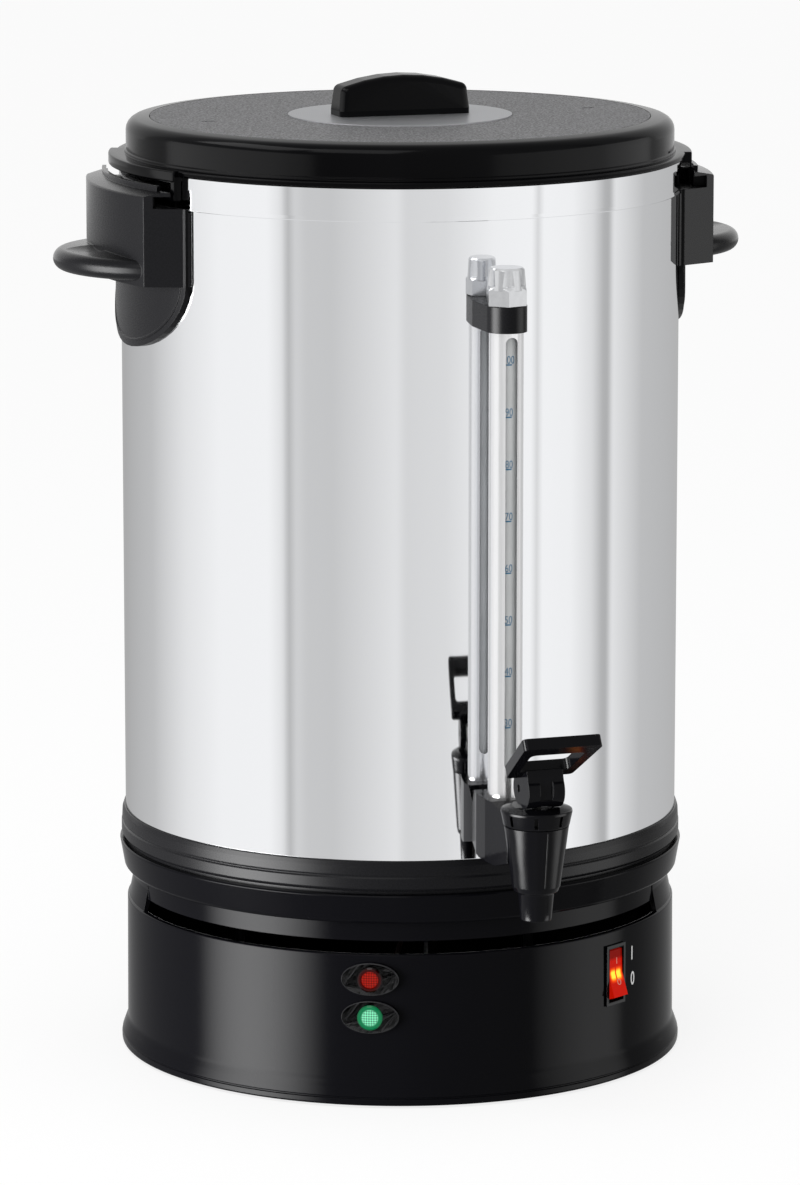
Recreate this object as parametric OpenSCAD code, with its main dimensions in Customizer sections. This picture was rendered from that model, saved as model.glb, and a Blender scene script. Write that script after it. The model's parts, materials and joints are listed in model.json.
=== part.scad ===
// Percolating coffee urn with a twist-lock lid, a sight gauge and a lever tap.
// Millimetres. Z is up, the tap faces -Y and the side handles lie on X. The
// origin is on the body's axis, on the surface that the feet stand on.

/* [Shell and tank] */
// Outer diameter of the polished shell
shell_d = 300; // [290:1:310]
// Height of the polished shell, from its bottom edge to the rolled rim
shell_h = 353.5; // [345:0.5:375]
// Thickness of the steel sheet of the shell and the tank
sheet_t = 0.8; // [0.6:0.1:1]
// Air gap between the shell and the tank
wall_gap = 12.2; // [11.5:0.1:13]
// Height of the rim band that is rolled over the shell's top edge
rim_band_h = 17.5; // [15:0.5:22]
// Distance of the tank's floor below the shell's bottom edge
tank_drop = 6; // [4:0.5:8]
// Radius of the corner between the tank's wall and floor
tank_corner_r = 10; // [6:1:14]

/* [Base housing] */
// How far the flared foot stands out beyond the shell
foot_flare = 3; // [2:0.5:6]
// Height at which the flare of the foot ends
flare_h = 14; // [11:1:20]
// Gap between the foot's edge and the ground
ground_gap = 1.3; // [1:0.1:3]
// Height of the base housing's wall above the ground
base_h = 82; // [80:1:90]
// Wall thickness of the moulded housings
wall_t = 3; // [2.5:0.1:3.5]
// Height of the vent slots
vent_h = 7; // [5:0.5:9]
// Arc that each of the two vent slots spans, in degrees
vent_arc = 138; // [120:1:146]
// Azimuth of the front vent slot's middle, from the tap, in degrees
vent_azimuth = -18.5; // [-25:0.5:-12]
// How far the neck above the vent slots lies inside the shell
neck_inset = 4; // [3.5:0.5:5]
// Height of the neck above the vent slots
neck_h = 10.5; // [9:0.5:14]

/* [Collars] */
// Height of the lower collar
low_collar_h = 15.5; // [13:0.5:20]
// How far the lower collar's top stands out beyond the shell
low_collar_out = 3.2; // [2:0.1:5]
// Height of the upper collar, with the shadow gap under it
up_collar_h = 18; // [15:0.5:22]
// How far the upper collar stands out beyond the shell
up_collar_out = 2.3; // [1.5:0.1:4]
// Height of the shadow gap between the collars
shadow_gap = 2; // [1.5:0.1:3]

/* [Feet and base plate] */
// Diameter of a rubber foot
pad_d = 22; // [16:1:28]
// Height of the base plate's underside above the ground
pad_h = 6; // [5.5:0.5:8]
// Distance of the rubber feet's middles from the shell's wall
pad_inset = 30; // [24:1:38]
// Thickness of the base plate
plate_t = 1.5; // [1:0.1:2]
// Distance of the base plate's screws from the shell's wall
post_inset = 14; // [12:0.5:16]
// Diameter of a tie rod
rod_d = 5; // [4:0.5:6]
// Diameter of the circle of the tie rods
rod_pcd = 184; // [176:1:196]

/* [Heating] */
// Diameter of the aluminium heat plate under the tank's floor
heat_plate_d = 150; // [130:1:160]
// Thickness of the heat plate
heat_plate_t = 4; // [3:0.5:6]
// Diameter of the heating element's ring, to the middle of its tube
element_ring_d = 110; // [100:1:116]
// Diameter of the heating element's tube
element_tube_d = 8; // [6:0.5:9]
// Diameter of the thermostat
thermostat_d = 18; // [14:1:22]
// Height of the thermostat
thermostat_h = 10; // [8:0.5:12]
// Diameter of the heat shield
shield_pan_d = 220; // [210:1:236]

/* [Lid] */
// How far the lid cover's skirt lies inside the shell
lid_inset = 3; // [2:0.5:5]
// Height of the lid's top plate above the shell's rim
lid_h = 22; // [20:0.5:26]
// Wall thickness of the lid cover
lid_t = 3; // [2.5:0.1:3.5]
// Width of the lid's shoulder around the matte top plate
lid_shoulder_w = 13; // [11:0.5:16]
// Diameter of the plain metal disc in the middle of the lid
disc_d = 120; // [100:1:140]
// How far the lid's locking flange stands out beyond the shell
flange_out = 3; // [2:0.5:4]
// Half of the angle that each locking lug spans, in degrees
lug_half_angle = 22.6; // [20:0.1:23]
// Radial depth of the lugs beyond the shell
lug_reach = 6.4; // [6:0.1:6.8]
// Length of the lid handle
lid_grip_l = 73; // [60:1:90]
// Width of the lid handle
lid_grip_w = 22; // [18:1:28]
// Height of the lid handle at its crown
lid_grip_h = 21.5; // [18:0.5:26]

/* [Side handles] */
// Half of the angle that a handle's back plate spans, in degrees
plate_half_angle = 24.6; // [24:0.1:27]
// Thickness of a handle's back plate
handle_plate_t = 2.4; // [2:0.1:3]
// Length of the back plate below the shell's rim
handle_plate_l = 95.5; // [85:0.5:110]
// Half of the angle of the handle box's outer face, in degrees
box_half_angle = 19; // [17:0.5:20]
// Distance of the handle box's outer face from the shell
box_reach = 18.4; // [16:0.2:22]
// Height of the handle box's top below the shell's rim
box_drop = 10; // [9:0.5:12]
// Distance of the grip's outermost edge from the shell
grip_reach = 41; // [36:0.5:48]
// Thickness of the grip
grip_t = 11; // [9:0.5:13]
// Depth of the grip's top below the shell's rim
grip_drop = 46.5; // [42:0.5:52]
// Height of the notch that the lid's rib turns in
notch_h = 14; // [12:0.5:15]

/* [Sight gauge] */
// Distance of the gauge's axis from the shell
gauge_reach = 21.5; // [20:0.5:24]
// Outer diameter of the gauge shield
gauge_shield_d = 18; // [17:0.5:19]
// Wall thickness of the gauge shield
gauge_shield_t = 0.8; // [0.6:0.1:1]
// Outer diameter of the gauge's glass tube
glass_d = 12; // [11:0.5:13]
// Wall thickness of the glass tube
glass_t = 1.2; // [1:0.1:1.6]
// Width of the slots in the gauge shield
gauge_slot_w = 6.5; // [5:0.5:8]
// Distance of the gauge bracket's underside below the shell's rim
bracket_drop = 72; // [68:0.5:80]
// Height of the gauge bracket
bracket_h = 13.5; // [11:0.1:15]
// Height of the gauge cap's hexagon
cap_hex_h = 9.8; // [8:0.1:12]
// Width of the gauge cap's hexagon across its flats
cap_hex_w = 19.5; // [18:0.5:21]
// Height of the gauge cap's knob
cap_knob_h = 9.8; // [9:0.1:14]
// Diameter of the gauge cap's knob
cap_knob_d = 20.2; // [18:0.2:21]

/* [Tap] */
// Distance of the tap's axis from the shell
tap_reach = 70; // [66:0.5:76]
// Height of the tap's inlet above the shell's bottom edge
shank_rise = 22; // [21:0.5:25]
// Diameter of the shank that passes through the shell and the tank
shank_d = 18; // [16:0.5:20]
// Diameter of the water way through the shank
water_way_d = 10; // [8:0.5:11]
// Width of the elbow between the shell and the tap
elbow_w = 26; // [24:0.5:30]
// Height of the elbow
elbow_h = 33; // [32:0.5:36]
// Height of the tap body above the spout's mouth
tap_body_h = 49.5; // [48:0.5:54]
// Diameter of the tap body at its top
tap_top_d = 33.5; // [32:0.5:35]
// Diameter of the tap body above the spout
tap_low_d = 25; // [24:0.5:26]
// Diameter of the spout at its mouth
spout_d = 16; // [15:0.5:17]
// Length of the spout
spout_l = 14; // [10:0.5:16]
// Diameter of the spout's bore
spout_bore_d = 11; // [9:0.5:11.5]
// Height of the bonnet ring
bonnet_h = 10.5; // [9:0.5:13]
// Diameter of the bonnet ring at its top
bonnet_d = 37; // [36:0.5:40]
// Diameter of the valve stem
stem_d = 5; // [4.5:0.1:5.5]
// Travel of the valve stem when the tap is fully open
stem_travel = 3.6; // [3:0.1:4]
// Width of the tap lever's block
lever_w = 19.4; // [18:0.2:23]
// Distance of the lever's heel from its pin
heel_r = 9; // [8.5:0.1:10]
// Width of the lever's stirrup grip
stirrup_w = 42; // [39:0.5:46]
// Length of the stirrup grip along its slope
stirrup_l = 44; // [41:0.5:47]
// Lean of the stirrup grip from the vertical, in degrees
stirrup_lean = 59; // [54:1:62]

/* [Controls] */
// Azimuth of the pilot lamps, from the tap, in degrees
lamp_azimuth = -24.5; // [-30:0.5:-22]
// Height of the upper pilot lamp above the ground
lamp_z = 69.5; // [67:0.5:71]
// Distance between the pilot lamps
lamp_pitch = 20.5; // [19.5:0.5:24]
// Diameter of a pilot lamp's lens
lens_d = 13.4; // [12:0.2:14]
// Width of a pilot lamp's oval bezel
bezel_w = 30; // [27:0.5:33]
// Height of a pilot lamp's oval bezel
bezel_h = 17; // [16.5:0.1:18]
// Azimuth of the rocker switch, from the tap, in degrees
switch_azimuth = 31.6; // [28:0.2:38]
// Height of the rocker switch's middle above the ground
switch_z = 58.6; // [54:0.2:60]
// Height of the switch frame
switch_h = 33; // [30:0.5:36]
// Width of the switch frame
switch_w = 16; // [15:0.5:20]
// Bore of the cord inlet's grommet
inlet_bore_d = 8; // [6:0.5:9]
// Height of the cord inlet above the ground
inlet_z = 30; // [26:1:40]

/* [Percolator] */
// Outer diameter of the percolator tube
riser_d = 10; // [8:0.5:12]
// Distance of the percolator tube's top below the shell's rim
riser_drop = 14.5; // [14:0.5:20]
// Diameter of the filter basket
basket_d = 170; // [150:1:190]
// Height of the filter basket
basket_h = 75; // [60:1:90]
// Distance of the basket's top edge below the shell's rim
basket_drop = 31; // [30:1:40]

/* [Clearances] */
// Gap between parts that are fitted together and don't move
seat_gap = 0.2; // [0.15:0.05:0.25]
// Gap between parts that move past each other
move_gap = 0.3; // [0.25:0.05:0.4]
// Radial clearance of a pin or a stem in its hole
pin_gap = 0.06; // [0.03:0.01:0.08]

/* [Hidden] */

// Facets of the round shapes: large, medium and small
$fn = 96;
fine_fn = 48;
hull_fn = 32;

// Colours
black_gloss = [0.06, 0.06, 0.065];
black_matte = [0.12, 0.12, 0.125];
steel = [0.80, 0.81, 0.83];
rubber = [0.10, 0.10, 0.10];
aluminium = [0.72, 0.73, 0.75];

// Radii of the body
shell_r = shell_d / 2;
tank_r = shell_r - sheet_t - wall_gap;
band_r = shell_r + sheet_t;
base_r = shell_r - 0.3;
base_in_r = base_r - wall_t;
neck_r = shell_r - neck_inset;
neck_in_r = neck_r - wall_t;
pad_pcd = 2 * (shell_r - pad_inset);
post_pcd = 2 * (shell_r - post_inset);
lid_r = shell_r - lid_inset;
top_plate_r = lid_r - lid_shoulder_w;
flange_r = shell_r + flange_out;

// Heights of the stack, from the ground up
z_neck = base_h + vent_h;
z_low = z_neck + neck_h;
z_up = z_low + low_collar_h;
z_shell = z_up + up_collar_h;
z_rim = z_shell + shell_h;
z_floor = z_shell - tank_drop;
z_heat = z_floor - heat_plate_t;
z_shield = z_heat - element_tube_d - 10;

// The tap and the gauge stand in front of the shell, on one line
tap_y = -(shell_r + tap_reach);
gauge_y = -(shell_r + gauge_reach);
z_shank = z_shell + shank_rise;
z_elbow = z_shank + elbow_h / 2;
z_tap_top = z_shank + 11;
z_spout = z_tap_top - tap_body_h;
z_seat = z_spout + spout_l + 7;
chamber_r = 10;
z_bonnet = z_tap_top + bonnet_h;
z_pin = z_bonnet + move_gap + heel_r;
heel_lead = 7;
lever_slot_w = 7.6;
pin_r = 2;

// The gauge, from its seat in the elbow to its bracket
gauge_socket = 4;
z_bracket = z_rim - bracket_drop;
z_bracket_top = z_bracket + bracket_h;
z_glass = z_elbow - gauge_socket - 5;
z_glass_top = z_bracket_top - 6;

// The lid
z_lid_deck = z_rim + lid_h - 2;
z_lid_top = z_rim + lid_h;
lug_r = shell_r + lug_reach;

// A cylinder that lies along Y, from the inner to the outer distance in front
module forward(r, near, far) {
    translate([0, -near, 0]) rotate([90, 0, 0]) cylinder(r = r, h = far - near);
}

// A ring of a given wall between two radii
module ring(r_in, r_out, h) {
    difference() {
        cylinder(r = r_out, h = h);
        translate([0, 0, -1]) cylinder(r = r_in, h = h + 2);
    }
}

// An arc of a ring, centred on the given azimuth
module arc_ring(r_in, r_out, h, azimuth, span) {
    rotate([0, 0, azimuth - 90 - span / 2]) rotate_extrude(angle = span)
        translate([r_in, 0]) square([r_out - r_in, h]);
}

// Copies placed on a circle, the first at the given azimuth
module around(pcd, count, first = 0) {
    for (i = [0 : count - 1])
        rotate([0, 0, first + i * 360 / count]) translate([0, -pcd / 2, 0]) children();
}

// An ellipse as an outline, so that it stays a true extrusion
function ellipse(w, h, steps = 48) =
    [for (i = [0 : steps - 1]) [w / 2 * cos(i * 360 / steps), h / 2 * sin(i * 360 / steps)]];

// Moves a shape drawn in the XY plane onto the base housing's wall, facing out
module on_wall(azimuth, z, r) {
    rotate([0, 0, azimuth]) translate([0, -r, z]) rotate([90, 0, 0]) children();
}

// ---------------------------------------------------------------- base

// Four pads that plug into the base plate
module rubber_feet() {
    color(rubber) around(pad_pcd, 4, 45) {
        cylinder(r1 = pad_d / 2 - 1, r2 = pad_d / 2, h = 1.5);
        translate([0, 0, 1.5]) cylinder(d = pad_d, h = pad_h - 1.5);
        translate([0, 0, pad_h - 1]) cylinder(r = 4, h = plate_t + 1 + seat_gap);
        translate([0, 0, pad_h + plate_t + seat_gap]) cylinder(r1 = 5.5, r2 = 4, h = 2.5);
    }
}

module base_plate() {
    color(steel) translate([0, 0, pad_h]) difference() {
        cylinder(r = base_in_r - seat_gap, h = plate_t);
        around(pad_pcd, 4, 45) translate([0, 0, -1]) cylinder(r = 4 + seat_gap, h = plate_t + 2);
        around(post_pcd, 4, 65) translate([0, 0, -1]) cylinder(r = 2.2, h = plate_t + 2);
        around(rod_pcd, 3, 30) translate([0, 0, -1])
            cylinder(r = rod_d / 2 + seat_gap, h = plate_t + 2);
    }
}

// Pan-head screws that hold the base plate to the housing's posts
module base_plate_screws() {
    color(steel) around(post_pcd, 4, 65) difference() {
        union() {
            translate([0, 0, pad_h - 2.2]) cylinder(r1 = 3, r2 = 3.8, h = 2.2);
            translate([0, 0, pad_h - 1]) cylinder(r = 1.9, h = plate_t + 12);
        }
        translate([-0.5, -2.5, pad_h - 3]) cube([1, 5, 1.6]);
        translate([-2.5, -0.5, pad_h - 3]) cube([5, 1, 1.6]);
    }
}

// Half section of the housing: flared foot, wall, sloping shoulder and neck
module housing_section() {
    foot_r = shell_r + foot_flare;
    shoulder = vent_h + neck_h / 2;
    polygon([
        [base_in_r, ground_gap], [foot_r - 1, ground_gap], [foot_r, ground_gap + 1],
        [foot_r, 4.6], [foot_r - 0.7, 5], [foot_r - 0.7, 5.6], [foot_r - 0.3, 6],
        [foot_r - 1.6, flare_h - 4], [base_r + 0.3, flare_h - 1.5], [base_r, flare_h],
        [base_r - 0.3, base_h - 1], [base_r - 1, base_h],
        [neck_r + 0.6, base_h + shoulder - 1.5], [neck_r, base_h + shoulder],
        [neck_r, z_low], [tank_r - 3, z_low], [tank_r - 3, z_low - wall_t],
        [neck_in_r, z_low - wall_t], [neck_in_r, base_h + shoulder - 2],
        [base_in_r, base_h - 2]
    ]);
}

module base_housing() {
    post_h = 30;
    color(black_gloss) difference() {
        union() {
            rotate_extrude() housing_section();
            // Screw posts for the base plate, each with a rib to the wall
            around(post_pcd, 4, 65) translate([0, 0, pad_h + plate_t]) {
                cylinder(r = 5, h = post_h);
                translate([-1.5, -(base_r - 1 - post_pcd / 2), 0])
                    cube([3, base_r - 1 - post_pcd / 2, post_h]);
            }
        }
        around(post_pcd, 4, 65) translate([0, 0, pad_h]) cylinder(r = 2, h = plate_t + 16);
        // Vent slots, and the neck cut back above them
        for (side = [0, 180]) {
            translate([0, 0, base_h + 0.3])
                arc_ring(neck_in_r - 5, base_r + 2, vent_h - 0.3, vent_azimuth + side, vent_arc);
            translate([0, 0, z_neck - 1])
                arc_ring(neck_r - 0.4, base_r + 3, neck_h + 2, vent_azimuth + side, vent_arc);
        }
        // Screw holes through the neck's inner flange
        around(collar_screw_pcd, 4, 45) translate([0, 0, z_low - wall_t - 1])
            cylinder(r = 1.8, h = wall_t + 2);
        // Openings for the lamps, the switch and the cord
        for (i = [0, 1]) on_wall(lamp_azimuth, lamp_z - i * lamp_pitch, base_r - 12)
            linear_extrude(20) polygon(ellipse(bezel_w - 3, bezel_h - 3));
        on_wall(switch_azimuth, switch_z, base_r - 12) linear_extrude(20)
            square([switch_w - 3, switch_h - 3], center = true);
        on_wall(180, inlet_z, base_r - 12) cylinder(r = inlet_bore_d / 2 + 2 + seat_gap, h = 20);
    }
}
collar_screw_pcd = 2 * (neck_in_r - 3.6);

// Sleeve with two flanges that lines the hole for the mains cord
module cord_grommet() {
    r = inlet_bore_d / 2;
    color(rubber) difference() {
        union() {
            on_wall(180, inlet_z, base_in_r - 2.5) cylinder(r = r + 2, h = wall_t + 5.5);
            on_wall(180, inlet_z, base_r + 0.2) cylinder(r1 = r + 5, r2 = r + 3.4, h = 3);
            on_wall(180, inlet_z, base_in_r - 3) cylinder(r = r + 4, h = 2);
        }
        on_wall(180, inlet_z, base_in_r - 4) cylinder(r = r, h = wall_t + 9);
    }
}

// Oval escutcheons with a scooped face; each carries a lamp in its middle
module lamp_bezels() {
    color(black_gloss) for (i = [0, 1]) on_wall(lamp_azimuth, lamp_z - i * lamp_pitch, base_r) {
        difference() {
            union() {
                translate([0, 0, -wall_t - 3]) linear_extrude(wall_t + 3.5)
                    polygon(ellipse(bezel_w - 3 - 2 * seat_gap, bezel_h - 3 - 2 * seat_gap));
                translate([0, 0, 0.2]) linear_extrude(1.4) polygon(ellipse(bezel_w, bezel_h));
            }
            // Face sunk inside the rim, with a scoop on both sides of the lamp
            translate([0, 0, 1]) linear_extrude(3) polygon(ellipse(bezel_w - 2.4, bezel_h - 2.4));
            intersection() {
                translate([0, 0, -3]) linear_extrude(6)
                    polygon(ellipse(bezel_w - 4.2, bezel_h - 4.2));
                for (side = [-1, 1]) translate([side * bezel_w * 0.47, 0, bezel_w / 4])
                    sphere(d = bezel_w * 0.6, $fn = fine_fn);
            }
            translate([0, 0, -wall_t - 4]) cylinder(d = lens_d + 2 * seat_gap, h = 20);
        }
    }
}

// Domed lens with a collar, pressed into its bezel
module lamp_lens() {
    rotate_extrude($fn = fine_fn) polygon([
        [0, -5], [lens_d / 2, -5], [lens_d / 2, 2.6], [lens_d / 2 - 0.9, 3.4],
        [lens_d / 2 - 1.8, 3.4], [lens_d / 2 - 2.1, 2.8], [3, 3.3], [0, 3.5]
    ]);
}

module red_lamp_lens() {
    color([0.75, 0.06, 0.04]) on_wall(lamp_azimuth, lamp_z, base_r) lamp_lens();
}

module green_lamp_lens() {
    color([0.10, 0.62, 0.38]) on_wall(lamp_azimuth, lamp_z - lamp_pitch, base_r) lamp_lens();
}

// Lamp holders behind the lenses
module lamp_bodies() {
    color([0.85, 0.84, 0.80]) for (i = [0, 1])
        on_wall(lamp_azimuth, lamp_z - i * lamp_pitch, base_r - 5 - seat_gap - 16) {
            cylinder(d = lens_d - 2, h = 16, $fn = fine_fn);
            for (side = [-1, 1]) translate([side * 2.5 - 0.4, -1.5, -7]) cube([0.8, 3, 8]);
        }
}

// Frame of the rocker switch: flange, snap-in body and its two side cheeks
module switch_frame() {
    in_w = switch_w - 2 * switch_rim;
    in_h = switch_h - 2 * switch_rim;
    color(black_gloss) on_wall(switch_azimuth, switch_z, base_r) difference() {
        union() {
            translate([-switch_w / 2, -switch_h / 2, 0.1]) cube([switch_w, switch_h, 0.7]);
            translate([-switch_w / 2 + 1.5 + seat_gap, -switch_h / 2 + 1.5 + seat_gap, -15])
                cube([switch_w - 3 - 2 * seat_gap, switch_h - 3 - 2 * seat_gap, 16]);
        }
        translate([-in_w / 2, -in_h / 2, -13]) cube([in_w, in_h, 20]);
        translate([-switch_w, 0, rocker_axis_z]) rotate([0, 90, 0])
            cylinder(r = 1.2 + pin_gap, h = 2 * switch_w, $fn = fine_fn);
    }
}
switch_rim = 1.9;
rocker_axis_z = -3.5;
rocker_tilt = 10;
trunnion_l = 0.7;

// Translucent rocker on two trunnions; its lower end stands proud when on
module switch_rocker() {
    half = switch_h / 2 - switch_rim - move_gap - 0.8;
    w = switch_w - 2 * switch_rim - 2 * move_gap;
    color([0.85, 0.16, 0.05]) on_wall(switch_azimuth, switch_z, base_r)
        translate([0, 0, rocker_axis_z]) {
            translate([-w / 2, 0, 0]) rotate([90, 0, 90]) linear_extrude(w) polygon([
                rocker_point(half - 0.9, 5.6), rocker_point(0, 3.8), rocker_point(-half + 0.9, 5.6),
                rocker_point(-half + 0.2, 1), [-4, -5], [4, -5],
                rocker_point(half - 0.2, 1)
            ]);
            translate([-(w / 2 + trunnion_l), 0, 0]) rotate([0, 90, 0])
                cylinder(r = 1.2, h = w + 2 * trunnion_l, $fn = fine_fn);
        }
}
// A point of the rocker's outline, leaned over to the ON position
function rocker_point(y, z) = let (a = rocker_tilt)
    [y * cos(a) + z * sin(a), z * cos(a) - y * sin(a)];

// Screw terminals on the base plate
module terminal_block() {
    color([0.90, 0.89, 0.85]) translate([-24, 62, pad_h + plate_t]) difference() {
        cube([48, 20, 16]);
        for (i = [0 : 3]) translate([7 + i * 11.3, 10, 5]) cylinder(r = 2.6, h = 12, $fn = fine_fn);
    }
}

// One lead of the inner wiring, as straight runs between chosen points
module lead(points) {
    for (i = [0 : len(points) - 2]) hull() {
        translate(points[i]) sphere(r = lead_r, $fn = 8);
        translate(points[i + 1]) sphere(r = lead_r, $fn = 8);
    }
}
lead_r = 1.5;

// Leads from the terminal block to the switch, the lamps and the element
module wiring() {
    z = pad_h + plate_t;
    front = base_r - 24;
    lamp = [front * sin(lamp_azimuth), -front * cos(lamp_azimuth)];
    switch = [front * sin(switch_azimuth), -front * cos(switch_azimuth)];
    color([0.55, 0.12, 0.10]) {
        lead([[-17, 60.3, z + 8], [-17, 40, z + 6], [lamp[0] + 4, lamp[1] + 22, z + 6],
            [lamp[0] + 4, lamp[1] + 14, lamp_z - lamp_pitch], [lamp[0] + 2, lamp[1] + 6, lamp_z - lamp_pitch]]);
        lead([[17, 60.3, z + 8], [17, 40, z + 6], [switch[0] - 4, switch[1] + 22, z + 6],
            [switch[0] - 4, switch[1] + 12, switch_z], [switch[0] - 1, switch[1] + 5, switch_z]]);
        lead([[6, 60.3, z + 8], [10, 50, z + 8], [element_end_x, element_end_y + 4, z + 30],
            [element_end_x, element_end_y, z_shield - 16]]);
    }
}

// ---------------------------------------------------------------- collars

// Moulded channel ring that stands on the housing's neck
module lower_collar() {
    r = shell_r + low_collar_out;
    r_in = tank_r - 2.5;
    color(black_gloss) difference() {
        union() {
            translate([0, 0, z_low]) rotate_extrude() polygon([
                [r_in, 0], [r - 3.6, 0], [r - 2.4, 1.2], [r, low_collar_h - 0.6],
                [r - 0.6, low_collar_h], [r_in, low_collar_h], [r_in, low_collar_h - wall_t],
                [r - wall_t - 0.4, low_collar_h - wall_t], [r - wall_t - 2.6, wall_t],
                [r_in, wall_t]
            ]);
            around(collar_screw_pcd, 4, 45) translate([0, 0, z_low])
                cylinder(r = 3.4, h = low_collar_h - 1);
        }
        around(collar_screw_pcd, 4, 45) translate([0, 0, z_low - 1])
            cylinder(r = 1.7, h = low_collar_h - 2);
    }
}

// Screws from the neck's inner flange up into the lower collar
module collar_screws() {
    color(steel) around(collar_screw_pcd, 4, 45) {
        translate([0, 0, z_low - wall_t - 2]) cylinder(r = 3, h = 2, $fn = fine_fn);
        translate([0, 0, z_low - wall_t - 1]) cylinder(r = 1.6, h = wall_t + 11, $fn = fine_fn);
    }
}

// Bead ring that carries the shell; a spigot inside centres the shell
module upper_collar() {
    r = shell_r + up_collar_out;
    r_in = tank_r + 1.5;
    mid = (up_collar_h + shadow_gap) / 2;
    color(black_matte) translate([0, 0, z_up]) rotate_extrude() polygon([
        [r_in, 0], [shell_r - 0.5, 0], [shell_r - 0.5, shadow_gap], [r - 1.2, shadow_gap],
        [r, shadow_gap + 1.5], [r, mid - 1.4], [r - 0.9, mid], [r - 0.4, mid + 1],
        [r - 0.5, up_collar_h - 3], [shell_r + 1, up_collar_h], [shell_r - sheet_t - seat_gap, up_collar_h],
        [shell_r - sheet_t - seat_gap, up_collar_h + 6],
        [shell_r - sheet_t - seat_gap - wall_t, up_collar_h + 6],
        [shell_r - sheet_t - seat_gap - wall_t, wall_t], [r_in, wall_t]
    ]);
}

// Rods that hang from the tank's floor and clamp the whole stack to the base plate
module tie_rods() {
    color(steel) around(rod_pcd, 3, 30) translate([0, 0, pad_h - 5])
        cylinder(d = rod_d, h = z_floor - pad_h + 5);
}

module tie_rod_nuts() {
    color(steel) around(rod_pcd, 3, 30) for (z = [pad_h - 4, z_shield - 4]) translate([0, 0, z])
        difference() {
            cylinder(d = rod_d * 1.85, h = 4, $fn = 6);
            translate([0, 0, -1]) cylinder(r = rod_d / 2 + pin_gap, h = 6);
        }
}

// ---------------------------------------------------------------- heating

// Dished sheet between the hot element and the base
module heat_shield() {
    r = shield_pan_d / 2;
    color(steel) difference() {
        translate([0, 0, z_shield]) {
            cylinder(r = r, h = sheet_t);
            ring(r - sheet_t, r, 9);
        }
        around(rod_pcd, 3, 30) translate([0, 0, z_shield - 1])
            cylinder(r = rod_d / 2 + seat_gap, h = 4);
        for (x = [-1, 1]) translate([x * element_end_x, element_end_y, z_shield - 1])
            cylinder(r = 5, h = 4);
    }
}

module heat_plate() {
    color(aluminium) translate([0, 0, z_heat]) cylinder(d = heat_plate_d, h = heat_plate_t);
}
element_gap_angle = 40;
element_end_x = element_ring_d / 2 * sin(element_gap_angle / 2);
element_end_y = element_ring_d / 2 * cos(element_gap_angle / 2);

// Tubular ring, open at the rear, with two terminals that turn down
module heating_element() {
    z = z_heat - element_tube_d / 2 - 0.1;
    color([0.35, 0.33, 0.32]) {
        translate([0, 0, z]) rotate([0, 0, 90 + element_gap_angle / 2])
            rotate_extrude(angle = 360 - element_gap_angle)
            translate([element_ring_d / 2, 0]) circle(d = element_tube_d, $fn = fine_fn);
        for (side = [-1, 1]) translate([side * element_end_x, element_end_y, z_shield - 14])
            cylinder(d = element_tube_d - 1, h = z - z_shield + 14, $fn = fine_fn);
    }
}

// Capillary-free disc thermostat, clamped under the heat plate
module thermostat() {
    color([0.25, 0.22, 0.20]) translate([0, 0, z_heat - thermostat_h]) {
        cylinder(d = thermostat_d, h = thermostat_h);
        for (x = [-5, 5]) translate([x - 3, -0.4, -6]) cube([6, 0.8, 7]);
    }
}

module thermal_cutout() {
    color([0.85, 0.84, 0.80]) translate([30, 0, z_heat - 8]) {
        cylinder(d = 14, h = 8, $fn = fine_fn);
        for (x = [-4, 4]) translate([x - 2.5, -0.4, -6]) cube([5, 0.8, 7]);
    }
}

// ---------------------------------------------------------------- shell and tank

module outer_shell() {
    color(steel) difference() {
        translate([0, 0, z_shell]) ring(shell_r - sheet_t, shell_r, shell_h - sheet_t);
        translate([0, 0, z_shank]) forward(shank_d / 2 + seat_gap, tank_r, shell_r + 5);
        translate([0, 0, z_bracket + bracket_h / 2])
            forward(2 + seat_gap, tank_r, shell_r + 5);
        handle_screw_places() translate([0, 0, -5]) cylinder(r = 2 + seat_gap, h = 10, $fn = fine_fn);
    }
}

// Deep-drawn tank whose rim is turned out and rolled down over the shell
module inner_tank() {
    r = tank_r;
    t = sheet_t;
    c = tank_corner_r;
    outer_arc = [for (a = [0 : 15 : 90]) [r - c + c * sin(a), z_floor + c - c * cos(a)]];
    inner_arc = [for (a = [90 : -15 : 0])
        [r - c + (c - t) * sin(a), z_floor + c - (c - t) * cos(a)]];
    color(steel) difference() {
        rotate_extrude() polygon(concat(
            [[0, z_floor]], outer_arc,
            [[r, z_rim - t], [shell_r, z_rim - t], [shell_r, z_rim - rim_band_h],
            [band_r, z_rim - rim_band_h], [band_r, z_rim - 0.6], [band_r - 0.6, z_rim],
            [r - t, z_rim]],
            inner_arc, [[0, z_floor + t]]
        ));
        translate([0, 0, z_shank]) forward(shank_d / 2 + seat_gap, tank_r - 20, shell_r - 5);
    }
}

// ---------------------------------------------------------------- side handles

// Places of the handle screws, two to a handle, each facing out from the shell's inside
module handle_screw_places() {
    for (side = [90, 270], a = [-1, 1])
        on_wall(side + a * screw_angle, z_rim - grip_drop - screw_drop, shell_r - sheet_t) children();
}
screw_angle = 8.5;
screw_drop = 27;

// Outline of a back plate, seen from the side: straight top, half-oval bottom
function plate_outline(half_w, height, oval) = concat(
    [[half_w, height], [-half_w, height]],
    [for (a = [180 : 7.5 : 360]) [half_w * cos(a), oval + oval * sin(a)]]
);

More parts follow.
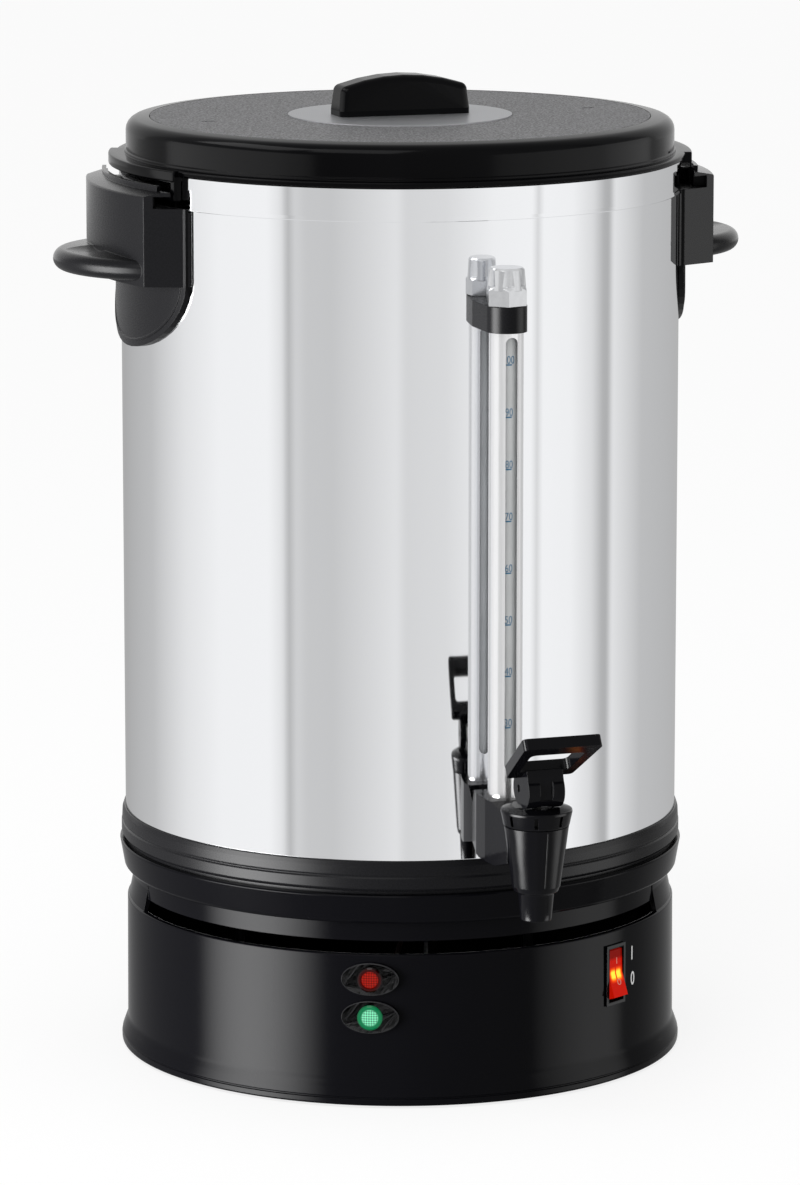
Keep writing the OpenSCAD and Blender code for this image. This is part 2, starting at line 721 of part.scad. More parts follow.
// Handle on the +X side: back plate, box with a channel for the lid's lug, and grip
module side_handle() {
    in_r = shell_r + seat_gap;
    plate_r = band_r + seat_gap + handle_plate_t - 0.4;
    box_r = shell_r + box_reach;
    half_w = plate_r * sin(plate_half_angle);
    z_plate = z_rim - handle_plate_l;
    z_grip = z_rim - grip_drop;
    z_notch = z_rim - 2.5 - notch_h;
    channel_r = lug_r + 1;
    ridge_r = channel_r + 2.4;
    grip_r = 61;
    grip_x = shell_r + grip_reach - grip_r;
    box_h = grip_drop - box_drop + grip_t;
    corner = box_r * [cos(box_half_angle), sin(box_half_angle)];
    foot = plate_r * [cos(plate_half_angle - 0.6), sin(plate_half_angle - 0.6)];
    root = 1.4 * foot - 0.4 * corner;
    color(black_matte) difference() {
        union() {
            // Back plate, with edges that face along the wall
            intersection() {
                translate([0, 0, z_plate]) ring(in_r, plate_r, handle_plate_l);
                translate([0, 0, z_plate]) rotate([90, 0, 90]) linear_extrude(shell_d)
                    polygon(plate_outline(half_w, handle_plate_l - 2.5, 40));
                translate([0, 0, z_plate - 1]) linear_extrude(handle_plate_l + 2) polygon([
                    [0, 0], [shell_d, -shell_d * tan(plate_half_angle)],
                    [shell_d, shell_d * tan(plate_half_angle)]
                ]);
            }
            // Raised line around the plate's tail
            intersection() {
                translate([0, 0, z_plate]) ring(plate_r - 0.6, plate_r + 0.5, handle_plate_l - grip_drop - grip_t + 1);
                translate([0, 0, z_plate]) rotate([90, 0, 90]) linear_extrude(shell_d) difference() {
                    translate([0, 3]) polygon(plate_outline(half_w - 3, 60, 37));
                    translate([0, 4.3]) polygon(plate_outline(half_w - 4.3, 62, 35.7));
                }
            }
            // Box from the grip's underside up to the ridge
            translate([0, 0, z_grip - grip_t]) intersection() {
                rotate_extrude() polygon([
                    [in_r, 0], [box_r, 0], [box_r, box_h - 0.6], [box_r - 0.6, box_h],
                    [ridge_r, box_h + 2], [in_r, box_h + 2]
                ]);
                translate([0, 0, -1]) linear_extrude(grip_drop + grip_t + 2) polygon([
                    [0, 0], [root[0], -root[1]], [corner[0], -corner[1]],
                    [box_r + 20, -10], [box_r + 20, 10], corner, root
                ]);
            }
            // Ridge that rises behind the channel
            translate([0, 0, z_grip]) arc_ring(channel_r - 1, ridge_r, grip_drop - 5.2,
                90, 2 * box_half_angle);
            // Grip: a blade with a rounded edge
            difference() {
                translate([grip_x, 0, z_grip - grip_t]) rotate_extrude() union() {
                    polygon([
                        [0, 0], [grip_r - 22, 0], [grip_r - grip_t / 2, grip_lift],
                        [grip_r - grip_t / 2, grip_t + grip_lift], [grip_r - 24, grip_t + grip_lift + 1],
                        [0, grip_t + grip_lift + 1]
                    ]);
                    translate([grip_r - grip_t / 2, grip_t / 2 + grip_lift]) circle(d = grip_t, $fn = fine_fn);
                }
                translate([0, 0, z_grip - 2 * grip_t]) cylinder(r = in_r, h = 4 * grip_t);
                translate([-shell_d, -shell_d, z_grip - 2 * grip_t])
                    cube([2 * shell_d - shell_d / 2, 2 * shell_d, 4 * grip_t]);
                // Scooped top
                translate([shell_r + grip_reach - 16, 0, z_grip + grip_lift + 59]) sphere(r = 60);
            }
        }
        // The rolled band of the rim lies behind the plate's top
        translate([0, 0, z_rim - rim_band_h - 1])
            cylinder(r = band_r + seat_gap, h = rim_band_h + 5);
        // Channel for the lid's lug
        translate([0, 0, z_rim - 8.3]) ring(in_r - 5, channel_r, 20);
        // Notch at each end of the channel, where the lid's rib turns, and the
        // window beside it under the box's top
        for (side = [-1, 1]) translate([0, 0, z_notch]) {
            arc_ring(in_r - 5, channel_r + 0.3, notch_h, 90 + side * notch_mid, notch_span);
            arc_ring(in_r - 5, channel_r - 0.3, notch_h - 7, 90 + side * 10, 5);
            arc_ring(in_r - 5, box_r - 4, notch_h - 7.7, 90 + side * 22, 9.6);
        }
        handle_box_hollow(z_grip, box_r, channel_r);
        handle_screw_holes();
    }
}
notch_span = 14;
notch_mid = 19;
// Rise of the grip's outer edge above its root
grip_lift = 2.6;

// The box is a thin moulding, open at the back and below the ridge
module handle_box_hollow(z_grip, box_r, channel_r) {
    translate([0, 0, z_grip + 2])
        arc_ring(channel_r + 4.5, box_r - wall_t, grip_drop - box_drop - 5, 90,
            2 * box_half_angle - 5);
}

module handle_screw_holes() {
    for (a = [-1, 1]) on_wall(90 + a * screw_angle, z_rim - grip_drop - screw_drop, shell_r - 1)
        cylinder(r = 1.8, h = handle_plate_t + 0.8, $fn = fine_fn);
}

module left_handle() {
    mirror([1, 0, 0]) side_handle();
}

module right_handle() {
    side_handle();
}

// Screws from inside the shell into the back plates
module handle_screws() {
    color(steel) handle_screw_places() {
        translate([0, 0, -2.2]) cylinder(r = 3.8, h = 2, $fn = fine_fn);
        translate([0, 0, -1]) cylinder(r = 1.7, h = handle_plate_t + 1.2, $fn = fine_fn);
    }
}

// ---------------------------------------------------------------- tap

// Elbow and shank in one casting, bored for the water and for the gauge
module tap_shank() {
    back = shell_r - 0.5;
    front = -tap_y - 15;
    color(black_gloss) difference() {
        union() {
            intersection() {
                translate([-elbow_w / 2, 0, 0]) rotate([90, 0, 90]) linear_extrude(elbow_w)
                    polygon([
                        [-back, z_elbow - 8], [-back - 6, z_elbow], [gauge_y - 13, z_elbow],
                        [-front, z_elbow - 4], [-front, z_shank - 12],
                        [gauge_y - 18, z_elbow - elbow_h], [gauge_y + 4, z_elbow - elbow_h],
                        [-back, z_shank - 12]
                    ]);
                translate([0, 0, z_shank - elbow_h]) linear_extrude(2 * elbow_h) polygon([
                    [-elbow_w / 2 + 3, -back + 1], [elbow_w / 2 - 3, -back + 1],
                    [elbow_w / 2, gauge_y + 8], [elbow_w / 2, gauge_y - 6], [10.5, -front],
                    [-10.5, -front], [-elbow_w / 2, gauge_y - 6], [-elbow_w / 2, gauge_y + 8]
                ]);
            }
            translate([0, 0, z_shank]) forward(shank_d / 2, tank_r - 15, back + 10);
        }
        // Clear of the tap body and its bonnet
        translate([0, tap_y, z_shank - elbow_h]) cylinder(r = tap_top_d / 2 + seat_gap, h = 2 * elbow_h);
        translate([0, tap_y, z_tap_top - seat_gap]) cylinder(r = bonnet_d / 2 + seat_gap, h = elbow_h);
        // The shell's curve, all but the shank itself
        difference() {
            translate([0, 0, z_shank - elbow_h]) cylinder(r = shell_r + seat_gap, h = 2 * elbow_h);
            translate([0, 0, z_shank]) forward(shank_d / 2, tank_r - 20, shell_r + 5);
        }
        translate([0, 0, z_shank]) forward(water_way_d / 2, tank_r - 20, front + 5);
        // Gauge port, glass seat and shield socket
        translate([0, gauge_y, z_shank]) cylinder(r = 3.6, h = elbow_h);
        translate([0, gauge_y, z_glass - 2.2]) cylinder(r = glass_d / 2 + seat_gap, h = elbow_h);
        translate([0, gauge_y, z_elbow - gauge_socket])
            cylinder(r = gauge_shield_d / 2 + seat_gap, h = 10);
    }
}

// Washers on both sides of the tank's wall
module shank_seals() {
    r = shank_d / 2;
    color([0.80, 0.32, 0.22]) difference() {
        translate([0, 0, z_shank]) {
            forward(r + 4, shank_nut_y + 6 + seat_gap, shank_nut_y + 8.2);
            forward(r + 4, tank_r + 0.2, tank_r + 3.2);
        }
        translate([0, 0, z_shank]) forward(r + seat_gap, tank_r - 20, shell_r);
        // The seals follow the tank's curve
        translate([0, 0, z_shank - 30]) ring(tank_r - sheet_t - seat_gap, tank_r + seat_gap, 60);
    }
}
shank_nut_y = tank_r - sheet_t - 9.6;

module shank_nut() {
    color(steel) difference() {
        translate([0, -shank_nut_y, z_shank]) rotate([90, 0, 0])
            cylinder(d = shank_d + 10, h = 6, $fn = 6);
        translate([0, 0, z_shank]) forward(shank_d / 2 + pin_gap, tank_r - 20, shell_r);
    }
}

// Tapered body with its spout; the valve's seat is the floor of its chamber
module tap_body() {
    front = -tap_y - 15;
    low_r = tap_low_d / 2;
    color(black_gloss) difference() {
        union() {
            translate([0, tap_y, 0]) rotate_extrude() polygon([
                [0, z_spout], [spout_d / 2 - 0.6, z_spout], [spout_d / 2, z_spout + 0.6],
                [spout_d / 2 + 1.35, z_spout + spout_l], [low_r - 1, z_spout + spout_l + 1.5],
                [low_r, z_spout + spout_l + 4], [tap_top_d / 2, z_tap_top], [0, z_tap_top]
            ]);
            translate([0, 0, z_shank]) forward(10.4, front, -tap_y);
        }
        translate([0, tap_y, z_spout - 1]) cylinder(d = spout_bore_d, h = tap_body_h);
        translate([0, tap_y, z_seat]) cylinder(r = chamber_r, h = tap_body_h);
        translate([0, 0, z_shank]) forward(water_way_d / 2, front - 5, -tap_y);
    }
}

// Threaded ring that closes the chamber and guides the stem
module tap_bonnet() {
    r = bonnet_d / 2;
    color(black_gloss) difference() {
        union() {
            translate([0, tap_y, z_tap_top]) rotate_extrude() polygon([
                [0, 0], [r - 1.5, 0], [r - 0.2, bonnet_h - 2.6], [r, bonnet_h - 2.2],
                [r - 0.6, bonnet_h - 1.4], [13, bonnet_h], [0, bonnet_h]
            ]);
            translate([0, tap_y, z_tap_top - 4]) cylinder(r = chamber_r - seat_gap, h = 5);
        }
        translate([0, tap_y, z_tap_top - 5]) cylinder(r = stem_d / 2 + pin_gap, h = 40);
        // Grip slots around the ring
        for (i = [0 : 5]) translate([0, tap_y, z_tap_top + 1.4]) rotate([0, 0, 30 + i * 60])
            translate([-1.1, -r - 1, 0]) cube([2.2, 2.2, bonnet_h - 4.6]);
    }
}

// Stem with a flange in the seat cup and an eye for the lever's pin
module valve_stem() {
    eye_w = lever_slot_w - 2 * move_gap;
    color([0.88, 0.88, 0.86]) difference() {
        union() {
            translate([0, tap_y, z_seat + 6]) cylinder(d = stem_d, h = z_pin - z_seat - 6);
            translate([0, tap_y, z_seat + 6]) cylinder(r = 5, h = 2);
            translate([-eye_w / 2, tap_y, z_pin]) rotate([0, 90, 0]) cylinder(r = 4.5, h = eye_w);
        }
        translate([-eye_w, tap_y, z_pin]) rotate([0, 90, 0])
            cylinder(r = pin_r + pin_gap, h = 2 * eye_w);
    }
}

// Soft cup that shuts the spout's bore
module seat_cup() {
    color([0.86, 0.84, 0.78]) translate([0, tap_y, z_seat + 0.1]) difference() {
        rotate_extrude() polygon([
            [0, 0], [7.2, 0], [8, 1], [8, 8], [5.6, 14], [0, 14]
        ]);
        translate([0, 0, 5.9 - 0.1]) cylinder(r = 5 + seat_gap, h = 2 + 2 * seat_gap);
        translate([0, 0, 7]) cylinder(r = stem_d / 2 + seat_gap, h = 10);
    }
}

// Lever: a block with a rounded heel that works as a cam, and a stirrup grip
module tap_lever() {
    top = 11.5;
    reach = stirrup_w / 2;
    front = heel_lead + heel_r;
    color(black_gloss) translate([0, tap_y, z_pin]) difference() {
        union() {
            rotate([0, 90, 0]) translate([0, 0, -lever_w / 2]) cylinder(r = 8.2, h = lever_w);
            translate([-lever_w / 2, -heel_lead, 0]) rotate([0, 90, 0])
                cylinder(r = heel_r, h = lever_w);
            // Block over the heel, with a front that leans back
            hull() {
                translate([-lever_w / 2, -heel_lead, 0]) rotate([0, 90, 0])
                    cylinder(r = heel_r - 0.4, h = lever_w, $fn = hull_fn);
                translate([-lever_w / 2, 4 - front, top - 1]) cube([lever_w, front + 2, 1]);
            }
            // The stirrup is drawn flat and leaned over
            translate([0, -2, top - 2.5]) rotate([stirrup_lean, 0, 0]) difference() {
                hull() {
                    for (side = [-1, 1]) {
                        stirrup_post(side * (reach - 2.5), stirrup_l - 2.5, 2.5);
                        stirrup_post(side * (reach - 5.5), 2.5, 2.5);
                    }
                }
                hull() for (side = [-1, 1]) {
                    stirrup_gap(side * (reach - 9.5), stirrup_l - 13);
                    stirrup_gap(side * (reach - 10.5), 11);
                }
            }
        }
        // Fork for the stem's eye, and the pin's hole
        translate([-lever_slot_w / 2, -12, -20]) cube([lever_slot_w, 26, 26]);
        translate([-lever_w, 0, 0]) rotate([0, 90, 0])
            cylinder(r = pin_r + pin_gap, h = 2 * lever_w);
        // Sink mark in the front of the block
        translate([-3.5, -front - 1, -4]) cube([7, 2.8, 10]);
    }
}
stirrup_t = 6;

// Rounded corner post of the stirrup's outline; its depth lies along Y
module stirrup_post(x, z, r) {
    translate([x, stirrup_t / 2, z]) rotate([90, 0, 0]) cylinder(r = r, h = stirrup_t, $fn = hull_fn);
}

// Rounded corner of the stirrup's opening
module stirrup_gap(x, z) {
    translate([x, stirrup_t, z]) rotate([90, 0, 0]) cylinder(r = 3, h = 2 * stirrup_t, $fn = hull_fn);
}

module lever_pin() {
    color(steel) translate([-lever_w / 2 + 1, tap_y, z_pin]) rotate([0, 90, 0])
        cylinder(r = pin_r, h = lever_w - 2);
}

// ---------------------------------------------------------------- gauge

// Moulded eye around the gauge's top, screwed to the shell
module gauge_bracket() {
    r = gauge_shield_d / 2 + 1.7;
    color(black_matte) difference() {
        union() {
            translate([0, gauge_y, z_bracket]) cylinder(r = r, h = bracket_h);
            translate([-r, gauge_y, z_bracket]) cube([2 * r, gauge_reach, bracket_h]);
        }
        translate([0, 0, z_bracket - 1]) cylinder(r = shell_r + seat_gap, h = bracket_h + 2);
        translate([0, gauge_y, z_bracket - 1]) cylinder(r = glass_d / 2 + seat_gap, h = 40);
        translate([0, gauge_y, z_bracket - 1])
            cylinder(r = gauge_shield_d / 2 + seat_gap, h = 5 + seat_gap);
        translate([0, 0, z_bracket + bracket_h / 2]) forward(1.7, shell_r - 5, shell_r + 9);
    }
}

module gauge_bracket_screw() {
    color(steel) translate([0, 0, z_bracket + bracket_h / 2]) {
        forward(3.8, shell_r - sheet_t - 3, shell_r - sheet_t - 0.9);
        forward(1.6, shell_r - sheet_t - 2, shell_r + 8);
    }
}

// Metal tube around the glass, slotted at the front and the back
module gauge_shield() {
    h = z_bracket + 4 - z_elbow + gauge_socket;
    slot_z = 22;
    slot_h = z_bracket - 5.5 - z_elbow - slot_z + gauge_socket;
    color(steel) translate([0, gauge_y, z_elbow - gauge_socket]) difference() {
        ring(gauge_shield_d / 2 - gauge_shield_t, gauge_shield_d / 2, h);
        translate([-gauge_slot_w / 2, -gauge_shield_d, slot_z])
            cube([gauge_slot_w, 2 * gauge_shield_d, slot_h]);
        for (z = [slot_z, slot_z + slot_h]) translate([0, gauge_shield_d, z]) rotate([90, 0, 0])
            cylinder(d = gauge_slot_w, h = 2 * gauge_shield_d, $fn = fine_fn);
    }
}

module gauge_glass() {
    color([0.85, 0.90, 0.92, 0.4]) translate([0, gauge_y, z_glass])
        ring(glass_d / 2 - glass_t, glass_d / 2, z_glass_top - z_glass);
}

// Ring under the glass, in the elbow's seat
module gauge_lower_seal() {
    color([0.86, 0.84, 0.78]) translate([0, gauge_y, z_glass - 2.2])
        ring(3.6, glass_d / 2, 2);
}

// Ring between the glass and the cap's plug
module gauge_cap_seal() {
    color([0.86, 0.84, 0.78]) translate([0, gauge_y, z_glass_top + seat_gap])
        ring(glass_d / 2 - 1.8, glass_d / 2 - 0.1, 1.6);
}

// Turned hexagonal cap with a fluted knob and a plug that presses on its seal
module gauge_cap() {
    plug_r = glass_d / 2 - 0.1;
    plug_z = z_glass_top - z_bracket_top + seat_gap + 1.6 + 0.1;
    knob_r = cap_knob_d / 2;
    crown_r = knob_r - 0.8;
    flute_r = 9;
    hex_r = cap_hex_w / 2;
    top = cap_hex_h + cap_knob_h;
    color(steel) translate([0, gauge_y, z_bracket_top]) rotate([0, 0, 17]) difference() {
        union() {
            rotate_extrude() polygon([
                [0, plug_z], [plug_r, plug_z], [plug_r, 1], [hex_r - 0.5, 1],
                [hex_r - 0.5, cap_hex_h - 2], [knob_r, cap_hex_h - 1.5], [crown_r, top - 1],
                [crown_r - 1, top], [0, top]
            ]);
            difference() {
                translate([0, 0, 0.2]) cylinder(r = hex_r / cos(30), h = cap_hex_h - 0.2, $fn = 6);
                rotate_extrude() polygon([
                    [knob_r - 1, cap_hex_h + 0.6], [hex_r + 3, cap_hex_h + 0.6],
                    [hex_r + 3, cap_hex_h - 3.2]
                ]);
            }
        }
        // Flutes above the hexagon's corners
        for (i = [0 : 5]) rotate([0, 0, i * 60])
            translate([knob_r + flute_r - 1.2, 0, cap_hex_h + 0.6])
                cylinder(r = flute_r, h = cap_knob_h + 1);
    }
}

// ---------------------------------------------------------------- percolator

// Pump foot and rising tube that stand loose on the tank's floor
module percolator_tube() {
    r = riser_d / 2;
    z0 = z_floor + sheet_t + 0.1;
    z_top = z_rim - riser_drop;
    z_seat_ring = z_rim - basket_drop - basket_h - 3;
    color(steel) difference() {
        union() {
            translate([0, 0, z0]) rotate_extrude() polygon([
                [0, 0], [34, 0], [36, 2], [36, 5], [14, 16], [r, 22], [0, 22]
            ]);
            translate([0, 0, z0]) cylinder(r = r, h = z_top - z0);
            translate([0, 0, z_seat_ring]) cylinder(r = r + 5, h = 3 - 0.1);
        }
        translate([0, 0, z0 + 8]) cylinder(r = r - 1, h = z_top);
        // Water enters under the pump foot
        translate([0, 0, z0 - 1]) cylinder(r = 28, h = 5);
        translate([0, 0, z0 - 1]) cylinder(r = 3, h = 20);
        for (i = [0 : 3]) rotate([0, 0, 45 + i * 90]) translate([20, -4, -1 + z0]) cube([30, 8, 3]);
    }
}

// Perforated basket with a sleeve around the percolator tube
module filter_basket() {
    r = basket_d / 2;
    sleeve = riser_d / 2 + seat_gap;
    z0 = z_rim - basket_drop - basket_h;
    color(steel) translate([0, 0, z0]) difference() {
        union() {
            ring(r - sheet_t, r, basket_h);
            cylinder(r = r, h = sheet_t);
            cylinder(r = sleeve + 2, h = basket_h - 12);
        }
        translate([0, 0, -1]) cylinder(r = sleeve, h = basket_h + 2);
        for (row = [0 : 2], i = [0 : 8 + 6 * row - 1]) rotate([0, 0, i * 360 / (8 + 6 * row)])
            translate([26 + row * 20, 0, -1]) cylinder(r = 2, h = sheet_t + 2, $fn = 16);
    }
}

// Perforated spreader that closes the basket
module basket_cover() {
    r = basket_d / 2;
    color(steel) translate([0, 0, z_rim - basket_drop + 0.1]) difference() {
        union() {
            cylinder(r = r + 1.6, h = sheet_t);
            translate([0, 0, -4]) ring(r + seat_gap, r + 1.6, 4.5);
            cylinder(r = riser_d / 2 + 3, h = 6);
        }
        translate([0, 0, -5]) cylinder(r = riser_d / 2 + seat_gap, h = 20);
        for (row = [0 : 2], i = [0 : 8 + 6 * row - 1]) rotate([0, 0, i * 360 / (8 + 6 * row)])
            translate([26 + row * 20, 0, -1]) cylinder(r = 2, h = sheet_t + 2, $fn = 16);
    }
}

// ---------------------------------------------------------------- lid

// Soft ring that lies on the tank's rim
module lid_seal() {
    color([0.80, 0.80, 0.78]) translate([0, 0, z_rim]) ring(tank_r - 1.6, tank_r + 4, 2);
}

// Dished steel sheet that closes the tank
module lid_inner_pan() {
    spigot_r = tank_r - sheet_t - 1.4;
    depth = 6;
    t = sheet_t;
    z = z_rim + 2 + move_gap;
    color(steel) rotate_extrude() polygon([
        [0, z_rim - depth], [spigot_r - 3, z_rim - depth], [spigot_r, z_rim - depth + 3],
        [spigot_r, z], [tank_r + 4, z], [tank_r + 4, z + t], [spigot_r - t, z + t],
        [spigot_r - t, z_rim - depth + 3.4], [spigot_r - 3.4, z_rim - depth + t],
        [0, z_rim - depth + t]
    ]);
}

// Moulded cover: skirt, locking flange, rounded shoulder and recessed deck
module lid_cover() {
    r = lid_r;
    z0 = z_rim + move_gap;
    plate_r = top_plate_r;
    color(black_gloss) difference() {
        union() {
            rotate_extrude() polygon([
                [r - lid_t, z0], [flange_r - 0.6, z0], [flange_r, z0 + 0.6],
                [flange_r, z0 + 2.2], [flange_r - 0.6, z0 + 2.8], [r + 0.8, z0 + 2.8],
                [r + 0.8, z0 + 4], [r, z0 + 4.2], [r, z_lid_top - 7.4], [r - 0.7, z_lid_top - 4.4],
                [r - 2.2, z_lid_top - 2.4], [r - 4.6, z_lid_top - 1.2], [plate_r + 0.6, z_lid_top],
                [plate_r + seat_gap, z_lid_top], [plate_r + seat_gap, z_lid_deck],
                [0, z_lid_deck], [0, z_lid_deck - lid_t], [plate_r, z_lid_deck - lid_t],
                [r - lid_t, z_lid_top - 8]
            ]);
            // Ribs under the deck that reach down to the inner pan
            translate([0, 0, z_rim + 2 + move_gap + sheet_t + 0.1])
                ring(tank_r - 12, tank_r - 9, z_lid_deck - z_rim - 4);
            // Locking lugs over the handles, each with a rib at one end
            for (side = [0, 180]) rotate([0, 0, side]) {
                translate([0, 0, z0 - 3])
                    arc_ring(band_r + move_gap, lug_r, 5.8, 90, 2 * lug_half_angle);
                translate([0, 0, z_rim - rib_drop])
                    arc_ring(band_r + move_gap, lug_r - 0.6, rib_drop - 1, rib_azimuth, 1.2);
                translate([0, 0, z_rim - rib_drop])
                    arc_ring(band_r + move_gap, lug_r - 0.6, 2.5, rib_azimuth - toe_angle / 2, toe_angle);
            }
        }
        for (side = [-1, 1]) translate([side * vent_hole_x, 0, z_lid_deck - lid_t - 1]) vent_hole();
        lid_screw_places() cylinder(r = 2.2, h = 30, $fn = fine_fn);
    }
}
vent_hole_x = top_plate_r - 27;
rib_drop = 12.5;
rib_azimuth = 90 + lug_half_angle - 0.6;
toe_angle = 4.2;

// Steam vent: a short slot with round ends
module vent_hole() {
    translate([-3, -1.1, 0]) cube([6, 2.2, 10]);
    for (x = [-3, 3]) translate([x, 0, 0]) cylinder(r = 1.1, h = 10, $fn = fine_fn);
}

// Places of the two screws under the lid handle
module lid_screw_places() {
    for (x = [-1, 1]) translate([x * (lid_grip_l / 2 - 13), 0, z_lid_deck - lid_t - 1]) children();
}

module lid_top_plate() {
    color(black_matte) difference() {
        translate([0, 0, z_lid_deck]) cylinder(r = top_plate_r, h = z_lid_top - z_lid_deck);
        for (side = [-1, 1]) translate([side * vent_hole_x, 0, z_lid_deck - 1]) vent_hole();
        lid_screw_places() cylinder(r = 2.2, h = 30, $fn = fine_fn);
    }
}

module lid_disc() {
    color(aluminium) difference() {
        translate([0, 0, z_lid_top]) cylinder(d = disc_d, h = 0.6);
        lid_screw_places() cylinder(r = 2.2, h = 30, $fn = fine_fn);
    }
}

// Bridge-shaped knob with steep ends and an arched crown
module lid_handle() {
    z0 = z_lid_top + 0.6;
    r = 4;
    half_l = lid_grip_l / 2;
    half_w = lid_grip_w / 2;
    sag = 5;
    color(black_gloss) difference() {
        union() {
            translate([0, 0, z0]) hull() {
                for (x = [-1, 1], y = [-1, 1])
                    translate([x * (half_l - r), y * (half_w - r), 0]) cylinder(r = r, h = 3, $fn = hull_fn);
                for (i = [-3 : 3], y = [-1, 1])
                    translate([i / 3 * (half_l - r - 1), y * (half_w - r - 1),
                        lid_grip_h - r - sag * pow(i / 3, 2)]) sphere(r = r, $fn = hull_fn);
            }
        }
        lid_screw_places() cylinder(r = 1.8, h = z0 - z_lid_deck + lid_t + 9, $fn = fine_fn);
    }
}

module lid_handle_screws() {
    color(steel) lid_screw_places() {
        translate([0, 0, 1 - 2]) cylinder(r = 3.6, h = 2, $fn = fine_fn);
        translate([0, 0, 0]) cylinder(r = 1.7, h = z_lid_top - z_lid_deck + lid_t + 8, $fn = fine_fn);
    }
}

rubber_feet();
base_plate();
base_plate_screws();
base_housing();
cord_grommet();
lamp_bezels();
red_lamp_lens();
green_lamp_lens();
lamp_bodies();
switch_frame();
switch_rocker();
terminal_block();
wiring();
lower_collar();
collar_screws();
upper_collar();
tie_rods();
tie_rod_nuts();
heat_shield();
heat_plate();
heating_element();
thermostat();
thermal_cutout();
outer_shell();
inner_tank();
left_handle();
right_handle();
handle_screws();
tap_shank();
shank_seals();
shank_nut();
tap_body();
tap_bonnet();
valve_stem();
seat_cup();
tap_lever();
lever_pin();
gauge_bracket();
gauge_bracket_screw();
gauge_shield();
gauge_glass();
gauge_lower_seal();
gauge_cap_seal();
gauge_cap();
percolator_tube();
filter_basket();
basket_cover();
lid_seal();
lid_inner_pan();
lid_cover();
lid_top_plate();
lid_disc();
lid_handle();
lid_handle_screws();
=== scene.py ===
"""A coffee urn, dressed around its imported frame."""
import json
import math

import bmesh
import bpy
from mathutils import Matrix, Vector


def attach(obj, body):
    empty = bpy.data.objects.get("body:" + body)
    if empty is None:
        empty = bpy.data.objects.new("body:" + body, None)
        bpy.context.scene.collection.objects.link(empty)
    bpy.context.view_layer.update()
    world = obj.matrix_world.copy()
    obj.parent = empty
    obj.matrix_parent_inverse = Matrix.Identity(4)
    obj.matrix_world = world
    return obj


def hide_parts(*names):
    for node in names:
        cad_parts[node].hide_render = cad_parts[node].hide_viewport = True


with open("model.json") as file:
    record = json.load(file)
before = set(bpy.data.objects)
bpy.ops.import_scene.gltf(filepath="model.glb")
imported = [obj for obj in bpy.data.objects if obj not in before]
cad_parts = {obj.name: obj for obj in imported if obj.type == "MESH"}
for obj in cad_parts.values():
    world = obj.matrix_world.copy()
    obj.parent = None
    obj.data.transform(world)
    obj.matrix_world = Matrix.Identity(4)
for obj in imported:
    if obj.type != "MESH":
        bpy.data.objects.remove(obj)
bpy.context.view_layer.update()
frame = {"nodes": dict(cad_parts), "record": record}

# ---------------------------------------------------------------- studio
# A long lens looks at the urn from a little left of the tap and just above the
# lid. Nothing here is part of the object.
CAMERA_AZIMUTH, CAMERA_DIP = -18.5, 10.64
camera = bpy.data.objects.new("camera", bpy.data.cameras.new("camera"))
bpy.context.scene.collection.objects.link(camera)
camera.data.lens = 180.2
camera.data.sensor_width = 36
camera.data.clip_end = 60
camera.location = (-1.0062, -3.0071, 0.8436)
camera.rotation_euler = (math.radians(90 - CAMERA_DIP), 0, math.radians(CAMERA_AZIMUTH))
bpy.context.scene.camera = camera
bpy.context.scene.view_settings.view_transform = "Standard"


def linear(code):
    """A colour written as sRGB hex digits, as linear values with alpha."""
    parts = [int(code[i:i + 2], 16) / 255 for i in (0, 2, 4)]
    return [p / 12.92 if p <= 0.04045 else ((p + 0.055) / 1.055) ** 2.4 for p in parts] + [1]


def add(tree, kind, settings=None, links=None):
    """Adds one node to a tree, with its settings and its links."""
    made = tree.nodes.new(kind)
    own = {k: v for k, v in (settings or {}).items() if isinstance(k, str) and hasattr(made, k)}
    for key, value in own.items():
        setattr(made, key, value)
    for key, value in (settings or {}).items():
        if key not in own:
            made.inputs[key].default_value = value
    for key, source in (links or {}).items():
        tree.links.new(source, made.inputs[key])
    return made


def maths(tree, operation, *terms):
    """A maths node whose terms are numbers or the outputs of other nodes."""
    numbers = {i: t for i, t in enumerate(terms) if not isinstance(t, bpy.types.NodeSocket)}
    sources = {i: t for i, t in enumerate(terms) if i not in numbers}
    return add(tree, "ShaderNodeMath", {"operation": operation, **numbers}, sources)


def ranged(tree, source, span=(0, 1), onto=(0, 1)):
    """A node that maps one span of a value evenly onto another, and stops at its ends."""
    return add(tree, "ShaderNodeMapRange", {1: span[0], 2: span[1], 3: onto[0], 4: onto[1]}, {0: source})


